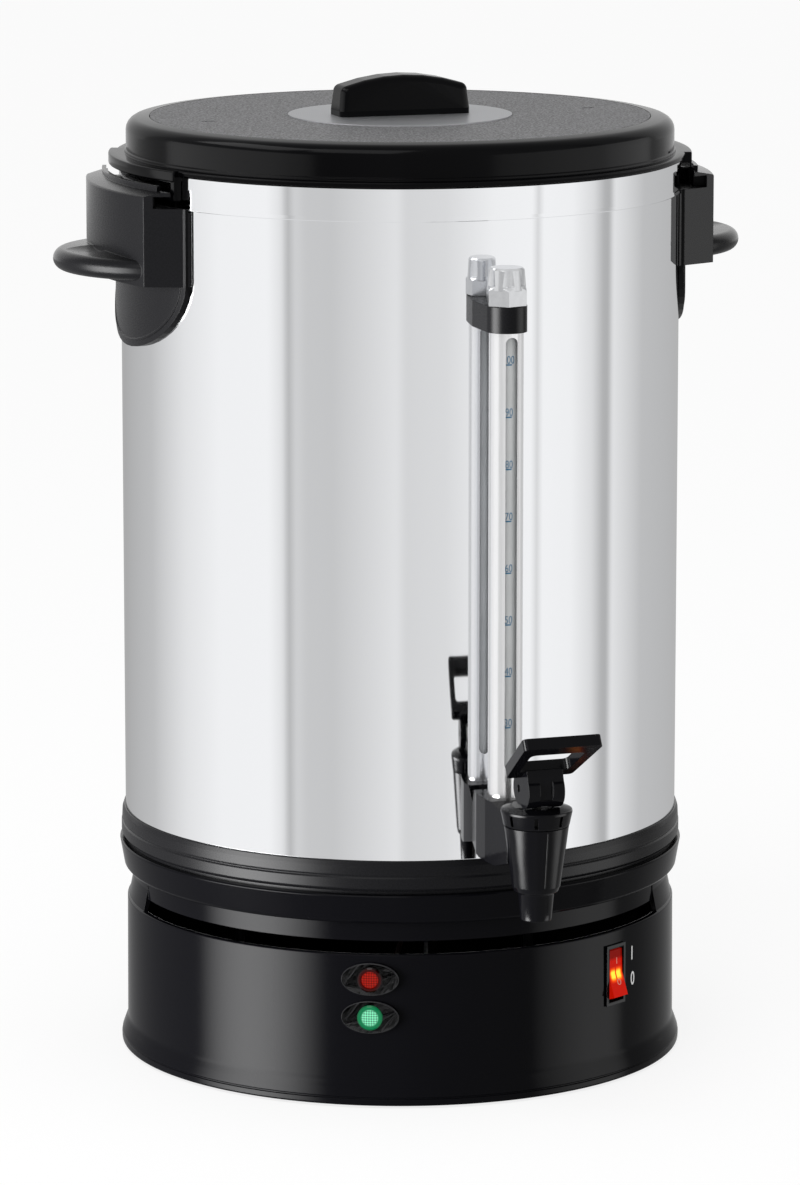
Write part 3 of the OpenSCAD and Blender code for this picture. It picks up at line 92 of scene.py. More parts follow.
# White walls with grey flags between them stand around the urn: level by azimuth
# from the tap, in degrees. The polished shell shows them as soft upright bands.
world = bpy.data.worlds.new("studio_walls")
bpy.context.scene.world = world
world.use_nodes = True
tree = world.node_tree
tree.nodes.clear()
look = add(tree, "ShaderNodeTexCoord")
way = add(tree, "ShaderNodeSeparateXYZ", links={0: look.outputs["Generated"]})
ahead = maths(tree, "MULTIPLY", way.outputs["Y"], -1.0)
turn = maths(tree, "ARCTAN2", way.outputs["X"], ahead.outputs[0])
share = ranged(tree, turn.outputs[0], (-math.pi, math.pi))
bands = add(tree, "ShaderNodeValToRGB", links={0: share.outputs[0]})
flags = [(-180, 0.42), (-143, 0.56), (-118, 0.84), (-98, 0.97), (-74, 0.98), (-68, 0.84), (-65, 0.52),
         (-61.5, 0.70), (-57, 0.63), (-46, 0.62), (-20, 0.83), (-16, 0.73), (0, 0.77), (20, 0.95),
         (37, 0.98), (39.3, 0.74), (42, 0.98), (56, 0.96), (67, 0.78), (73.6, 0.48), (76.4, 0.48),
         (79.5, 0.84), (84, 0.78), (100, 0.56), (140, 0.48), (180, 0.42)]
stops = bands.color_ramp.elements
for rank, (azimuth, level) in enumerate(flags):
    at = (azimuth + 180) / 360
    stop = stops[0] if rank == 0 else stops[-1] if rank == len(flags) - 1 else stops.new(at)
    stop.position = at
    stop.color = (level, level, level, 1)

# Above and below the walls the studio is one plain grey.
height = maths(tree, "ABSOLUTE", way.outputs["Z"])
steep = ranged(tree, height.outputs[0], (0.45, 0.8))
walls = add(tree, "ShaderNodeMix", {"data_type": "RGBA", 7: (0.8, 0.8, 0.8, 1)},
            {0: steep.outputs[0], 6: bands.outputs[0]})

# The walls only show in what mirrors them. Light from them is even, and behind the
# urn there is plain white.
ray = add(tree, "ShaderNodeLightPath")
mirrored = add(tree, "ShaderNodeBackground", {"Strength": 1.0}, {"Color": walls.outputs[2]})
lighting = add(tree, "ShaderNodeBackground", {"Color": (1, 1, 1, 1), "Strength": 0.6})
backdrop = add(tree, "ShaderNodeBackground", {"Color": (1, 1, 1, 1), "Strength": 1.0})
gloss_part = add(tree, "ShaderNodeMixShader",
                 links={0: ray.outputs["Is Glossy Ray"], 1: lighting.outputs[0], 2: mirrored.outputs[0]})
clear = maths(tree, "MAXIMUM", ray.outputs["Is Camera Ray"], ray.outputs["Is Transmission Ray"])
shown = add(tree, "ShaderNodeMixShader",
            links={0: clear.outputs[0], 1: gloss_part.outputs[0], 2: backdrop.outputs[0]})
add(tree, "ShaderNodeOutputWorld", links={0: shown.outputs[0]})

# Black only shows what it mirrors, so the black mouldings have boxes of their own:
# one set for the lid, and one for everything else.
mouldings = bpy.data.collections.new("mouldings")
lid_mouldings = bpy.data.collections.new("lid_mouldings")


def soft_box(name, azimuth, distance, middle, size, power, aim, fade=0.0, only=None):
    """A soft box at an azimuth from the tap, turned towards a height on the urn's axis.
    It may fade towards its sides, and may light only the pieces of one collection."""
    lamp = bpy.data.lights.new(name, "AREA")
    lamp.shape = "RECTANGLE"
    lamp.size, lamp.size_y = size
    lamp.energy = power
    if fade:
        lamp.use_nodes = True
        lamp.node_tree.nodes.clear()
        place = add(lamp.node_tree, "ShaderNodeNewGeometry")
        across = add(lamp.node_tree, "ShaderNodeSeparateXYZ", links={0: place.outputs["Parametric"]})
        wave = maths(lamp.node_tree, "MULTIPLY", across.outputs["X"], math.pi)
        arch = maths(lamp.node_tree, "SINE", wave.outputs[0])
        soft = maths(lamp.node_tree, "POWER", arch.outputs[0], fade)
        glow = add(lamp.node_tree, "ShaderNodeEmission", links={"Strength": soft.outputs[0]})
        add(lamp.node_tree, "ShaderNodeOutputLight", links={0: glow.outputs[0]})
    box = bpy.data.objects.new(name, lamp)
    bpy.context.scene.collection.objects.link(box)
    angle = math.radians(azimuth)
    box.location = (distance * math.sin(angle), -distance * math.cos(angle), middle)
    box.rotation_euler = (Vector((0, 0, aim)) - box.location).to_track_quat("-Z", "Y").to_euler()
    box.visible_camera = False
    if only:
        box.light_linking.receiver_collection = only


soft_box("left_box", -79, 2.6, 0.1, (3.2, 2.4), 1120, 0.1, 1.6, mouldings)
soft_box("right_box", 62, 2.8, 0.1, (2.6, 2.4), 112, 0.1, 0.8, mouldings)
soft_box("lid_left_box", -92, 2.6, 0.5, (4.2, 1.6), 62, 0.5, 0.4, lid_mouldings)
soft_box("lid_right_box", 64, 2.8, 0.5, (5.6, 1.6), 48, 0.5, 0.4, lid_mouldings)
soft_box("top_box", -40, 1.6, 2.4, (1.4, 1.4), 20, 0.4)
soft_box("crown_box", -100, 1.9, 2.6, (2.2, 1.2), 40, 0.5, 0.0, lid_mouldings)
for name, pieces_lit, power in (("lid_back_box", lid_mouldings, 16), ("back_box", mouldings, 60)):
    soft_box(name, CAMERA_AZIMUTH + 180, 2.6, 1.4, (6.4, 2.8), power, 0.5, 0.0, pieces_lit)

# The table top: white paper that keeps the soft shadow of the urn.
table_mesh = bpy.data.meshes.new("table_top")
table_mesh.from_pydata([(-9, -9, 0), (9, -9, 0), (9, 9, 0), (-9, 9, 0)], [], [(0, 1, 2, 3)])
table_top = bpy.data.objects.new("table_top", table_mesh)
bpy.context.scene.collection.objects.link(table_top)
paper = bpy.data.materials.new("white_paper")
paper.use_nodes = True
tree = paper.node_tree
tree.nodes.clear()
ray = add(tree, "ShaderNodeLightPath")
matte = add(tree, "ShaderNodeBsdfDiffuse", {"Color": (0.8, 0.8, 0.8, 1)})
glow = add(tree, "ShaderNodeEmission", {"Color": (1, 1, 1, 1), "Strength": 1.16})
share = maths(tree, "MULTIPLY", ray.outputs["Is Camera Ray"], 0.7)
sheet = add(tree, "ShaderNodeMixShader",
            links={0: share.outputs[0], 1: matte.outputs[0], 2: glow.outputs[0]})
add(tree, "ShaderNodeOutputMaterial", links={0: sheet.outputs[0]})
table_mesh.materials.append(paper)
table_top.visible_glossy = False
table_top.visible_shadow = False

# ---------------------------------------------------------------- base housing
# The base is one deep moulding in glossy phenolic: a flared foot, a plain wall, a
# sloping shoulder and a neck. Two long vent slots are cut under the collars, and
# the cord comes in at the back.


def finish(name, code, **settings):
    """A new material with one Principled node of a plain colour: material, tree, node."""
    made = bpy.data.materials.new(name)
    made.use_nodes = True
    made.node_tree.nodes.clear()
    body = add(made.node_tree, "ShaderNodeBsdfPrincipled", {"Base Color": linear(code), **settings})
    add(made.node_tree, "ShaderNodeOutputMaterial", links={0: body.outputs[0]})
    return made, made.node_tree, body


def noise(tree, scale, detail, stretch=(1, 1, 1)):
    """Noise with scale cells to a metre, over the piece's own stretched place."""
    place = add(tree, "ShaderNodeTexCoord")
    drawn = add(tree, "ShaderNodeMapping", {"Scale": stretch}, {"Vector": place.outputs["Object"]})
    return add(tree, "ShaderNodeTexNoise", {"Scale": scale, "Detail": detail}, {"Vector": drawn.outputs[0]})


# Moulded phenolic, gloss: deep black with a faint orange-peel ripple some 2 mm
# wide from the mould, and edges that are rounded by about 0.4 mm.
gloss_phenolic, tree, body = finish("gloss_phenolic", "030304", Roughness=0.13,
                                    **{"Specular IOR Level": 0.034})
ripple = noise(tree, 500.0, 2.0)
edge = add(tree, "ShaderNodeBevel", {"samples": 4, "Radius": 0.0004})
skin = add(tree, "ShaderNodeBump", {"Strength": 0.04, "Distance": 0.0002},
           {"Height": ripple.outputs["Fac"], "Normal": edge.outputs[0]})
haze = ranged(tree, ripple.outputs["Fac"], onto=(0.11, 0.16))
tree.links.new(skin.outputs[0], body.inputs["Normal"])
tree.links.new(haze.outputs[0], body.inputs["Roughness"])


def eased(outline):
    """Rounds the corners of an outline that carry a radius as a third number."""
    steps, guard = 5, 0.25
    made = []
    for i, corner in enumerate(outline):
        here = Vector(corner[:2])
        if len(corner) < 3:
            made.append(here)
            continue
        back = Vector(outline[i - 1][:2]) - here
        on = Vector(outline[(i + 1) % len(outline)][:2]) - here
        half = back.angle(on) / 2
        reach = min(corner[2] / math.tan(half), 0.49 * back.length, 0.49 * on.length)
        radius = reach * math.tan(half)
        middle = here + (back.normalized() + on.normalized()).normalized() * (radius / math.sin(half))
        first = here + back.normalized() * reach - middle
        last = here + on.normalized() * reach - middle
        if back.length > 2.5 * reach + 0.6:
            made.append(here + back.normalized() * (reach + guard))
        for step in range(steps + 1):
            made.append(middle + first.slerp(last, step / steps).normalized() * radius)
        if on.length > 2.5 * reach + 0.6:
            made.append(here + on.normalized() * (reach + guard))
    return made


def turning_tree():
    """A tree that turns an outline around an upright axis into a closed skin."""
    tree = bpy.data.node_groups.new("turned_piece", "GeometryNodeTree")
    sockets = {"Outline": "Geometry", "Steps": "Int", "Centre": "Vector", "Finish": "Material"}
    for name, kind in sockets.items():
        tree.interface.new_socket(name, in_out="INPUT", socket_type="NodeSocket" + kind)
    tree.interface.new_socket("Piece", in_out="OUTPUT", socket_type="NodeSocketGeometry")
    given = add(tree, "NodeGroupInput").outputs
    count = add(tree, "GeometryNodeAttributeDomainSize", links={0: given["Outline"]}).outputs["Point Count"]
    columns = maths(tree, "ADD", given["Steps"], 1.0)
    grid = add(tree, "GeometryNodeMeshGrid", links={"Vertices X": columns.outputs[0], "Vertices Y": count})
    index = add(tree, "GeometryNodeInputIndex")
    row = maths(tree, "MODULO", index.outputs[0], count)
    share = maths(tree, "DIVIDE", index.outputs[0], count)
    column = maths(tree, "FLOOR", share.outputs[0])
    full = maths(tree, "DIVIDE", 2 * math.pi, given["Steps"])
    angle = maths(tree, "MULTIPLY", column.outputs[0], full.outputs[0])
    spot = add(tree, "GeometryNodeInputPosition")
    point = add(tree, "GeometryNodeSampleIndex", {"data_type": "FLOAT_VECTOR"},
                {"Geometry": given["Outline"], "Value": spot.outputs[0], "Index": row.outputs[0]})
    swung = add(tree, "ShaderNodeVectorRotate", {"rotation_type": "Z_AXIS"},
                {"Vector": point.outputs[0], "Angle": angle.outputs[0]})
    there = add(tree, "ShaderNodeVectorMath", {"operation": "ADD"},
                {0: swung.outputs[0], 1: given["Centre"]})
    skin = add(tree, "GeometryNodeSetPosition",
               links={"Geometry": grid.outputs["Mesh"], "Position": there.outputs[0]})
    closed = add(tree, "GeometryNodeMergeByDistance", {"Distance": 2e-6}, {"Geometry": skin.outputs[0]})
    real = add(tree, "GeometryNodeRealizeInstances", links={0: closed.outputs[0]})
    dressed = add(tree, "GeometryNodeSetMaterial",
                  links={"Geometry": real.outputs[0], "Material": given["Finish"]})
    add(tree, "NodeGroupOutput", links={0: dressed.outputs[0]})
    return tree


turned_piece = turning_tree()


def grown(name, mesh, tree, **given):
    """Runs a tree on a mesh and returns the result as a plain object."""
    seed = bpy.data.objects.new(name, mesh)
    bpy.context.scene.collection.objects.link(seed)
    live = seed.modifiers.new("grow", "NODES")
    live.node_group = tree
    for socket in tree.interface.items_tree:
        if socket.in_out == "INPUT" and socket.name in given:
            live[socket.identifier] = given[socket.name]
    made = bpy.data.meshes.new_from_object(seed.evaluated_get(bpy.context.evaluated_depsgraph_get()))
    made.materials.clear()
    made.materials.append(given["Finish"])
    for face in made.polygons:
        face.material_index = 0
    seed.modifiers.clear()
    seed.data = made
    return seed


def tidy(piece):
    """Merges doubles, turns the faces outwards and shades all but sharp edges smooth."""
    sharp = math.radians(32)
    shape = bmesh.new()
    shape.from_mesh(piece.data)
    bmesh.ops.remove_doubles(shape, verts=shape.verts, dist=1e-6)
    bmesh.ops.recalc_face_normals(shape, faces=shape.faces)
    for face in shape.faces:
        face.smooth = True
    for line in shape.edges:
        line.smooth = len(line.link_faces) != 2 or line.calc_face_angle() < sharp
    shape.to_mesh(piece.data)
    shape.free()
    return piece


def turned(name, outline, material, steps, centre=(0, 0)):
    """A turned piece from an outline of radius and height in millimetres."""
    points = eased(outline)
    if points[0][0] > 0.001:
        points.append(points[0])
    line = bpy.data.meshes.new(name)
    line.from_pydata([(p[0] / 1000, 0, p[1] / 1000) for p in points], [], [])
    return tidy(grown(name, line, turned_piece, Steps=steps, Finish=material,
                      Centre=(centre[0] / 1000, centre[1] / 1000, 0)))


def arc_block(name, inner, outer, low, high, azimuth, span, steps):
    """A block between two radii and two heights, bent around the axis; millimetres and degrees."""
    shape = bmesh.new()
    rows = []
    for i in range(steps + 1):
        angle = math.radians(azimuth + span * (i / steps - 0.5))
        rows.append([shape.verts.new((r * math.sin(angle) / 1000, -r * math.cos(angle) / 1000, z / 1000))
                     for r, z in ((inner, low), (outer, low), (outer, high), (inner, high))])
    for a, b in zip(rows, rows[1:]):
        for k in range(4):
            shape.faces.new((a[k], a[(k + 1) % 4], b[(k + 1) % 4], b[k]))
    shape.faces.new(rows[0][::-1])
    shape.faces.new(rows[-1])
    bmesh.ops.recalc_face_normals(shape, faces=shape.faces)
    mesh = bpy.data.meshes.new(name)
    shape.to_mesh(mesh)
    shape.free()
    block = bpy.data.objects.new(name, mesh)
    bpy.context.scene.collection.objects.link(block)
    return block


def worked(piece):
    """Makes what the modifiers of a piece show its plain mesh."""
    made = bpy.data.meshes.new_from_object(piece.evaluated_get(bpy.context.evaluated_depsgraph_get()))
    piece.modifiers.clear()
    piece.data = made
    return piece


def cut(piece, *cutters, way="DIFFERENCE"):
    """Cuts pieces out of a piece, or joins them to it, and throws the cutters away."""
    for cutter in cutters:
        cutter.data.materials.clear()
        cutter.data.materials.append(piece.data.materials[0])
        step = piece.modifiers.new("cut", "BOOLEAN")
        step.operation = way
        step.solver = "EXACT"
        step.object = cutter
        worked(piece)
        bpy.data.objects.remove(cutter)
    tidy(piece)


def directions(azimuth):
    """The level directions out of the wall and across it, at an azimuth from the tap."""
    angle = math.radians(azimuth)
    return Vector((math.sin(angle), -math.cos(angle), 0)), Vector((math.cos(angle), math.sin(angle), 0))


def wall_map(azimuth, height, radius):
    """A map from millimetres across, up and out of the wall at an azimuth to a point in metres."""
    out, side = directions(azimuth)
    return lambda x, y, z: (out * (radius + z) + side * x + Vector((0, 0, height + y))) / 1000


def oval(width, height, steps=64):
    """The points of an ellipse."""
    turns = [2 * math.pi * i / steps for i in range(steps)]
    return [(width / 2 * math.cos(t), height / 2 * math.sin(t)) for t in turns]


def block(width, height):
    """The points of a rectangle."""
    return [(sx * width / 2, sy * height / 2) for sx, sy in ((-1, -1), (1, -1), (1, 1), (-1, 1))]


def prism(name, outline, low, high, place):
    """A straight prism over an outline, put in place by a map."""
    count = len(outline)
    spots = [place(x, y, z) for z in (low, high) for x, y in outline]
    sides = [(i, (i + 1) % count, count + (i + 1) % count, count + i) for i in range(count)]
    mesh = bpy.data.meshes.new(name)
    mesh.from_pydata(spots, [], [tuple(range(count))[::-1], tuple(range(count, 2 * count))] + sides)
    made = bpy.data.objects.new(name, mesh)
    bpy.context.scene.collection.objects.link(made)
    return tidy(made)


WALL_RADIUS, WALL_FACES = 149.7, 320
VENT_AZIMUTH, VENT_SPAN = -18.5, 138
LAMP_AZIMUTH, LAMP_HEIGHTS = -24.5, (69.5, 49.0)
SWITCH_AZIMUTH, SWITCH_HEIGHT = 31.6, 58.6
HOLE_DEPTHS = (-12, 8)
housing = turned("base_moulding", [
    (146.7, 1.3), (152.9, 1.3, 1.0), (153, 4.8, 0.3), (152.3, 5.1), (152.3, 5.6), (152.8, 6.1, 0.4),
    (151.2, 10.6, 6), (149.7, 14.5, 8), (149.3, 82.0, 1.2), (148.3, 82.6, 0.8), (146.0, 94.2, 1.0),
    (146, 99.5), (134, 99.5), (134, 96.5), (143, 96.5), (143, 92.2), (146.7, 80)],
    gloss_phenolic, WALL_FACES)
cutters = []
for side in (0, 180):
    cutters.append(arc_block("slot", 138, 152, 82.3, 89.0, VENT_AZIMUTH + side, VENT_SPAN, 120))
    cutters.append(arc_block("neck", 145.6, 153, 88.0, 101.5, VENT_AZIMUTH + side, VENT_SPAN, 120))
for height in LAMP_HEIGHTS:
    cutters.append(prism("lamp_hole", oval(27, 14), *HOLE_DEPTHS,
                         wall_map(LAMP_AZIMUTH, height, WALL_RADIUS)))
switch_place = wall_map(SWITCH_AZIMUTH, SWITCH_HEIGHT, WALL_RADIUS)
cutters.append(prism("switch_hole", block(13, 30), *HOLE_DEPTHS, switch_place))
cutters.append(prism("cord_hole", oval(12.2, 12.2), *HOLE_DEPTHS, wall_map(180, 30, WALL_RADIUS)))
cut(housing, *cutters)
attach(housing, "root")
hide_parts("base_housing")

# ---------------------------------------------------------------- floor and feet
# A pressed steel plate closes the housing from below, and a second one keeps the
# heat off it. The urn stands on rubber feet, and a grommet guards the cord inlet.


def dress(material, *names):
    """Gives a material to pieces that are carried over from the frame as they are."""
    for name in names:
        frame["nodes"][name].data.materials.clear()
        frame["nodes"][name].data.materials.append(material)


def grained(name, dark, light, grain, rough, bump=0.1, metal=0.0, stretch=(1, 1, 1)):
    """A material of two close shades: its colour, haze and height follow one grain, whose
    width is in millimetres."""
    made, tree, body = finish(name, light, Metallic=metal)
    specks = noise(tree, 1000 / grain, 3.0, stretch)
    shades = add(tree, "ShaderNodeMix", {"data_type": "RGBA", 6: linear(dark), 7: linear(light)},
                 {0: specks.outputs["Fac"]})
    haze = ranged(tree, specks.outputs["Fac"], (0.3, 0.7), rough)
    edge = add(tree, "ShaderNodeBevel", {"samples": 4, "Radius": 0.0002})
    skin = add(tree, "ShaderNodeBump", {"Strength": bump, "Distance": 0.0002},
               {"Height": specks.outputs["Fac"], "Normal": edge.outputs[0]})
    tree.links.new(shades.outputs[2], body.inputs["Base Color"])
    tree.links.new(haze.outputs[0], body.inputs["Roughness"])
    tree.links.new(skin.outputs[0], body.inputs["Normal"])
    return made


# Nitrile rubber of the feet and the cord's grommet: matt, with a bloom.
dress(grained("nitrile_rubber", "141415", "242426", 0.8, (0.6, 0.8), 0.2), "rubber_feet", "cord_grommet")
# Cold-rolled sheet of the base plate and the heat shield: a grain 0.5 mm wide and
# 10 mm long from the mill.
rolled_steel = grained("rolled_steel", "B4B5B7", "D2D3D5", 0.5, (0.26, 0.4), 0.1, 1.0, (0.05, 1, 1))
dress(rolled_steel, "base_plate", "heat_shield")

# ---------------------------------------------------------------- collars
# Two rings of the same phenolic stand on the neck and carry the shell: a flared
# channel ring, a dark gap, and a bead ring with a satin skin and a crease.
low_ring = turned("lower_ring", [
    (134.5, 99.5), (149.7, 99.5, 0.5), (150.9, 101.0, 1.0), (153.2, 114.2, 0.5), (152.6, 115.0, 0.3),
    (134.5, 115.0), (134.5, 112.0), (149.8, 112.0), (147.6, 102.5), (134.5, 102.5)],
    gloss_phenolic, WALL_FACES)
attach(low_ring, "root")
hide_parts("lower_collar")

# Moulded phenolic, satin: a softer, slightly greyer black with a 0.7 mm texture.
satin_phenolic, tree, body = finish("satin_phenolic", "070708", Roughness=0.27,
                                    **{"Specular IOR Level": 0.065})
grain = noise(tree, 1400.0, 3.0)
edge = add(tree, "ShaderNodeBevel", {"samples": 4, "Radius": 0.0006})
skin = add(tree, "ShaderNodeBump", {"Strength": 0.10, "Distance": 0.0001},
           {"Height": grain.outputs["Fac"], "Normal": edge.outputs[0]})
haze = ranged(tree, grain.outputs["Fac"], onto=(0.23, 0.32))
tree.links.new(skin.outputs[0], body.inputs["Normal"])
tree.links.new(haze.outputs[0], body.inputs["Roughness"])

bead_ring = turned("bead_ring", [
    (138.5, 115.0), (149.5, 115.0), (149.5, 117.0), (151.0, 117.0, 0.4), (152.3, 118.6, 0.8),
    (152.3, 123.8, 0.5), (151.5, 124.8, 0.3), (152.0, 125.9, 0.5), (151.8, 130.2, 1.6),
    (150.9, 133.0, 0.3), (149, 133.0), (149, 139), (146, 139), (146, 118), (138.5, 118)],
    satin_phenolic, WALL_FACES)
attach(bead_ring, "root")
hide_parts("upper_collar")

# ---------------------------------------------------------------- shell and tank
# The shell is a welded cylinder of 0.8 mm stainless sheet, mirror polished. The
# drawn tank hangs inside it by a rim that is rolled out and down over the shell.

# Stainless steel, mirror polished: near white, with a very faint upright
# waviness about 60 mm wide and a haze from the buffing wheel. The inside of the tank,
# which no wheel reaches, is left dull and a little limed.
polished_stainless, tree, body = finish("polished_stainless", "F2F3F5", Metallic=1.0, Roughness=0.04)
place = add(tree, "ShaderNodeTexCoord")
drawn = add(tree, "ShaderNodeMapping", {"Scale": (1.0, 1.0, 0.12)}, {"Vector": place.outputs["Object"]})
wave = add(tree, "ShaderNodeTexNoise", {"Scale": 16.0, "Detail": 1.0}, {"Vector": drawn.outputs[0]})
buffed = add(tree, "ShaderNodeTexNoise", {"Scale": 60.0, "Detail": 3.0}, {"Vector": drawn.outputs[0]})
haze = ranged(tree, buffed.outputs["Fac"], onto=(0.025, 0.06))
skin = add(tree, "ShaderNodeBump", {"Strength": 0.05, "Distance": 0.0005}, {"Height": wave.outputs["Fac"]})
parts = add(tree, "ShaderNodeSeparateXYZ", links={0: place.outputs["Object"]})
flat = add(tree, "ShaderNodeCombineXYZ", links={"X": parts.outputs["X"], "Y": parts.outputs["Y"]})
radius = add(tree, "ShaderNodeVectorMath", {"operation": "LENGTH"}, {0: flat.outputs[0]})
inside = ranged(tree, radius.outputs["Value"], (0.1364, 0.1368), (1.0, 0.0))
dull = add(tree, "ShaderNodeMix", {3: 0.45}, {0: inside.outputs[0], 2: haze.outputs[0]})
steel = ranged(tree, inside.outputs[0], onto=(1.0, 0.45))
tree.links.new(dull.outputs[0], body.inputs["Roughness"])
tree.links.new(steel.outputs[0], body.inputs["Metallic"])
tree.links.new(skin.outputs[0], body.inputs["Normal"])

SHELL_FACES = 360
shell = turned("shell_sheet", [(149.2, 133), (150, 133, 0.2), (150, 485.7), (149.2, 485.7)],
               polished_stainless, SHELL_FACES)
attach(shell, "root")
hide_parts("outer_shell")
tank = turned("tank_sheet", [
    (0, 127), (137, 127, 10), (137, 485.7), (150.05, 485.7), (150.05, 469.0), (151.3, 468.9, 0.5),
    (150.75, 471.4, 1.5), (150.75, 486.5, 0.8), (136.2, 486.5, 0.8), (136.2, 127.8, 9.2), (0, 127.8)],
    polished_stainless, SHELL_FACES)
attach(tank, "root")
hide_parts("inner_tank")

# ---------------------------------------------------------------- heating and leads
# A ring element, a thermostat and a cut-out are fixed under the tank's floor. Leads
# in silicone sleeves join them to the terminal block, the lamps and the switch.

# Polyamide of the electric parts: cream, with an eggshell skin.
cream_polyamide = grained("cream_polyamide", "CFCAB8", "DEDACB", 0.6, (0.4, 0.55))
dress(cream_polyamide, "terminal_block", "thermal_cutout")
# Silicone sleeves of the leads: deep red, waxy.
dress(grained("lead_sleeve", "260805", "3C0E08", 1.2, (0.45, 0.6)), "wiring")
# Sheath of the element: annealed steel, browned by heat in patches.
dress(grained("annealed_steel", "524A42", "807A74", 6.0, (0.35, 0.55), 0.1, 1.0), "heating_element",
      "thermostat")

# ---------------------------------------------------------------- percolator
# A pump foot with a riser tube carries a filter basket with its cover. All of it is
# thin stainless sheet, and stands loose in the tank.

# Stainless steel, drawn: pale, with a fine upright grain.
drawn_stainless = grained("drawn_stainless", "C4C5C8", "DCDDE0", 0.6, (0.16, 0.26), 0.06, 1.0, (1, 1, 0.08))
dress(drawn_stainless, "percolator_tube", "filter_basket", "basket_cover")

# ---------------------------------------------------------------- lid
# The cover is a glossy moulding with a rounded shoulder and a locking lug over each
# handle. A grained plate and a thin spun disc lie on it, under a bridge-shaped knob,
# and a drawn steel pan lines it.

# Phenolic of the lid: the housing's, polished a little brighter.
lid_phenolic = gloss_phenolic.copy()
lid_phenolic.name = "lid_phenolic"
lid_phenolic.node_tree.nodes["Principled BSDF"].inputs["Specular IOR Level"].default_value = 0.06
cover = turned("lid_moulding", [
    (144, 486.8), (152.5, 486.8, 0.3), (153, 489.1, 0.6), (152, 489.6), (147.8, 489.7, 0.3),
    (147.7, 490.9, 0.3), (147.0, 491.3, 0.2), (147.0, 507.4, 6.5), (134.5, 508.6, 0.6), (134.2, 508.2),
    (134.2, 506.5), (0, 506.5), (0, 503.5), (134, 503.5), (144, 500.5)],
    lid_phenolic, SHELL_FACES)
lugs = []
for side in (0, 180):
    lug = arc_block("lug", 150.0, 156.4, 483.8, 489.6, 90 + side, 45.2, 60)
    rib = arc_block("rib", 151.1, 155.8, 474.0, 485.5, 112 + side, 1.2, 2)
    toe = arc_block("toe", 151.1, 155.8, 474.0, 476.5, 109.9 + side, 4.2, 4)
    for piece, reach in ((lug, 0.0008), (rib, 0.0003), (toe, 0.0003)):
        rim = piece.modifiers.new("rim", "BEVEL")
        rim.width = reach
        rim.segments = 3
        rim.limit_method = "ANGLE"
        rim.angle_limit = math.radians(50)
        worked(piece)
        lugs.append(piece)
cut(cover, *lugs, way="UNION")
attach(cover, "lid")
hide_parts("lid_cover")

# Phenolic with a spark-eroded grain: dark grey and speckled. A grain is about 0.6 mm
# wide; it is drawn at 1.2 mm, so that it shows.
grained_phenolic, tree, body = finish("grained_phenolic", "4A4A4C", Roughness=0.5,
                                      **{"Specular IOR Level": 0.4})
place = add(tree, "ShaderNodeTexCoord")
pits = add(tree, "ShaderNodeTexNoise", {"Scale": 800.0, "Detail": 3.0, "Roughness": 0.65},
           {"Vector": place.outputs["Object"]})
shades = add(tree, "ShaderNodeValToRGB", links={0: pits.outputs["Fac"]})
shades.color_ramp.elements[0].position = 0.42
shades.color_ramp.elements[0].color = linear("0E0E10")
shades.color_ramp.elements[1].position = 0.60
shades.color_ramp.elements[1].color = linear("707072")
skin = add(tree, "ShaderNodeBump", {"Strength": 0.5, "Distance": 0.0003}, {"Height": pits.outputs["Fac"]})
tree.links.new(shades.outputs[0], body.inputs["Base Color"])
tree.links.new(skin.outputs[0], body.inputs["Normal"])
dress(grained_phenolic, "lid_top_plate")

# Aluminium, spun and lacquered: pale satin with fine turning rings 1 mm apart. The
# heat plate under the tank is turned from the same stock.
spun_aluminium, tree, body = finish("spun_aluminium", "D4D5D8", Metallic=0.9, Roughness=0.34)
place = add(tree, "ShaderNodeTexCoord")
rings = add(tree, "ShaderNodeTexWave",
            {"wave_type": "RINGS", "rings_direction": "Z", "Scale": 320.0, "Distortion": 0.4,
             "Detail": 2.0},
            {"Vector": place.outputs["Object"]})
skin = add(tree, "ShaderNodeBump", {"Strength": 0.12, "Distance": 0.0001}, {"Height": rings.outputs["Fac"]})
haze = ranged(tree, rings.outputs["Fac"], onto=(0.28, 0.4))
tree.links.new(skin.outputs[0], body.inputs["Normal"])
tree.links.new(haze.outputs[0], body.inputs["Roughness"])
dress(spun_aluminium, "lid_disc", "heat_plate")
dress(lid_phenolic, "lid_handle")
dress(drawn_stainless, "lid_inner_pan")

# ---------------------------------------------------------------- handles
# Each handle is one satin moulding: a back plate, a box with the channel for the
# lid's lug, and a scooped grip. Two screws from inside the shell hold it.
dress(satin_phenolic, "left_handle", "right_handle")

# ---------------------------------------------------------------- tap
# Body and elbow are glossy mouldings. The bonnet screws on, with slots for a key, and
# the lever lifts the stem with its seat cup.

# Phenolic of the tap: polished brighter than the housing's, with a faint haze from
# washing, in patches about 17 mm wide.
tap_phenolic, tree, body = finish("tap_phenolic", "030304", Roughness=0.14, **{"Specular IOR Level": 0.08})
wiped = noise(tree, 60.0, 4.0)
haze = ranged(tree, wiped.outputs["Fac"], (0.35, 0.65), (0.1, 0.18))
edge = add(tree, "ShaderNodeBevel", {"samples": 6, "Radius": 0.0004})
tree.links.new(haze.outputs[0], body.inputs["Roughness"])
tree.links.new(edge.outputs[0], body.inputs["Normal"])
TAP_REACH = 220
TAP_PLACE = Vector((0, -TAP_REACH))
body_shape = turned("tap_moulding", [
    (5.5, 116.5, 0.2), (8.0, 116.5, 0.4), (9.35, 130.2), (9.7, 130.9, 0.3), (11.5, 131.9, 0.8),
    (12.5, 134.4, 1.0), (16.75, 166.0), (10, 166), (10, 137.5), (5.5, 137.5)],
    tap_phenolic, 96, TAP_PLACE)
inlet = prism("inlet", oval(20.6, 20.6), -15, -1, wall_map(0, 155, TAP_REACH))
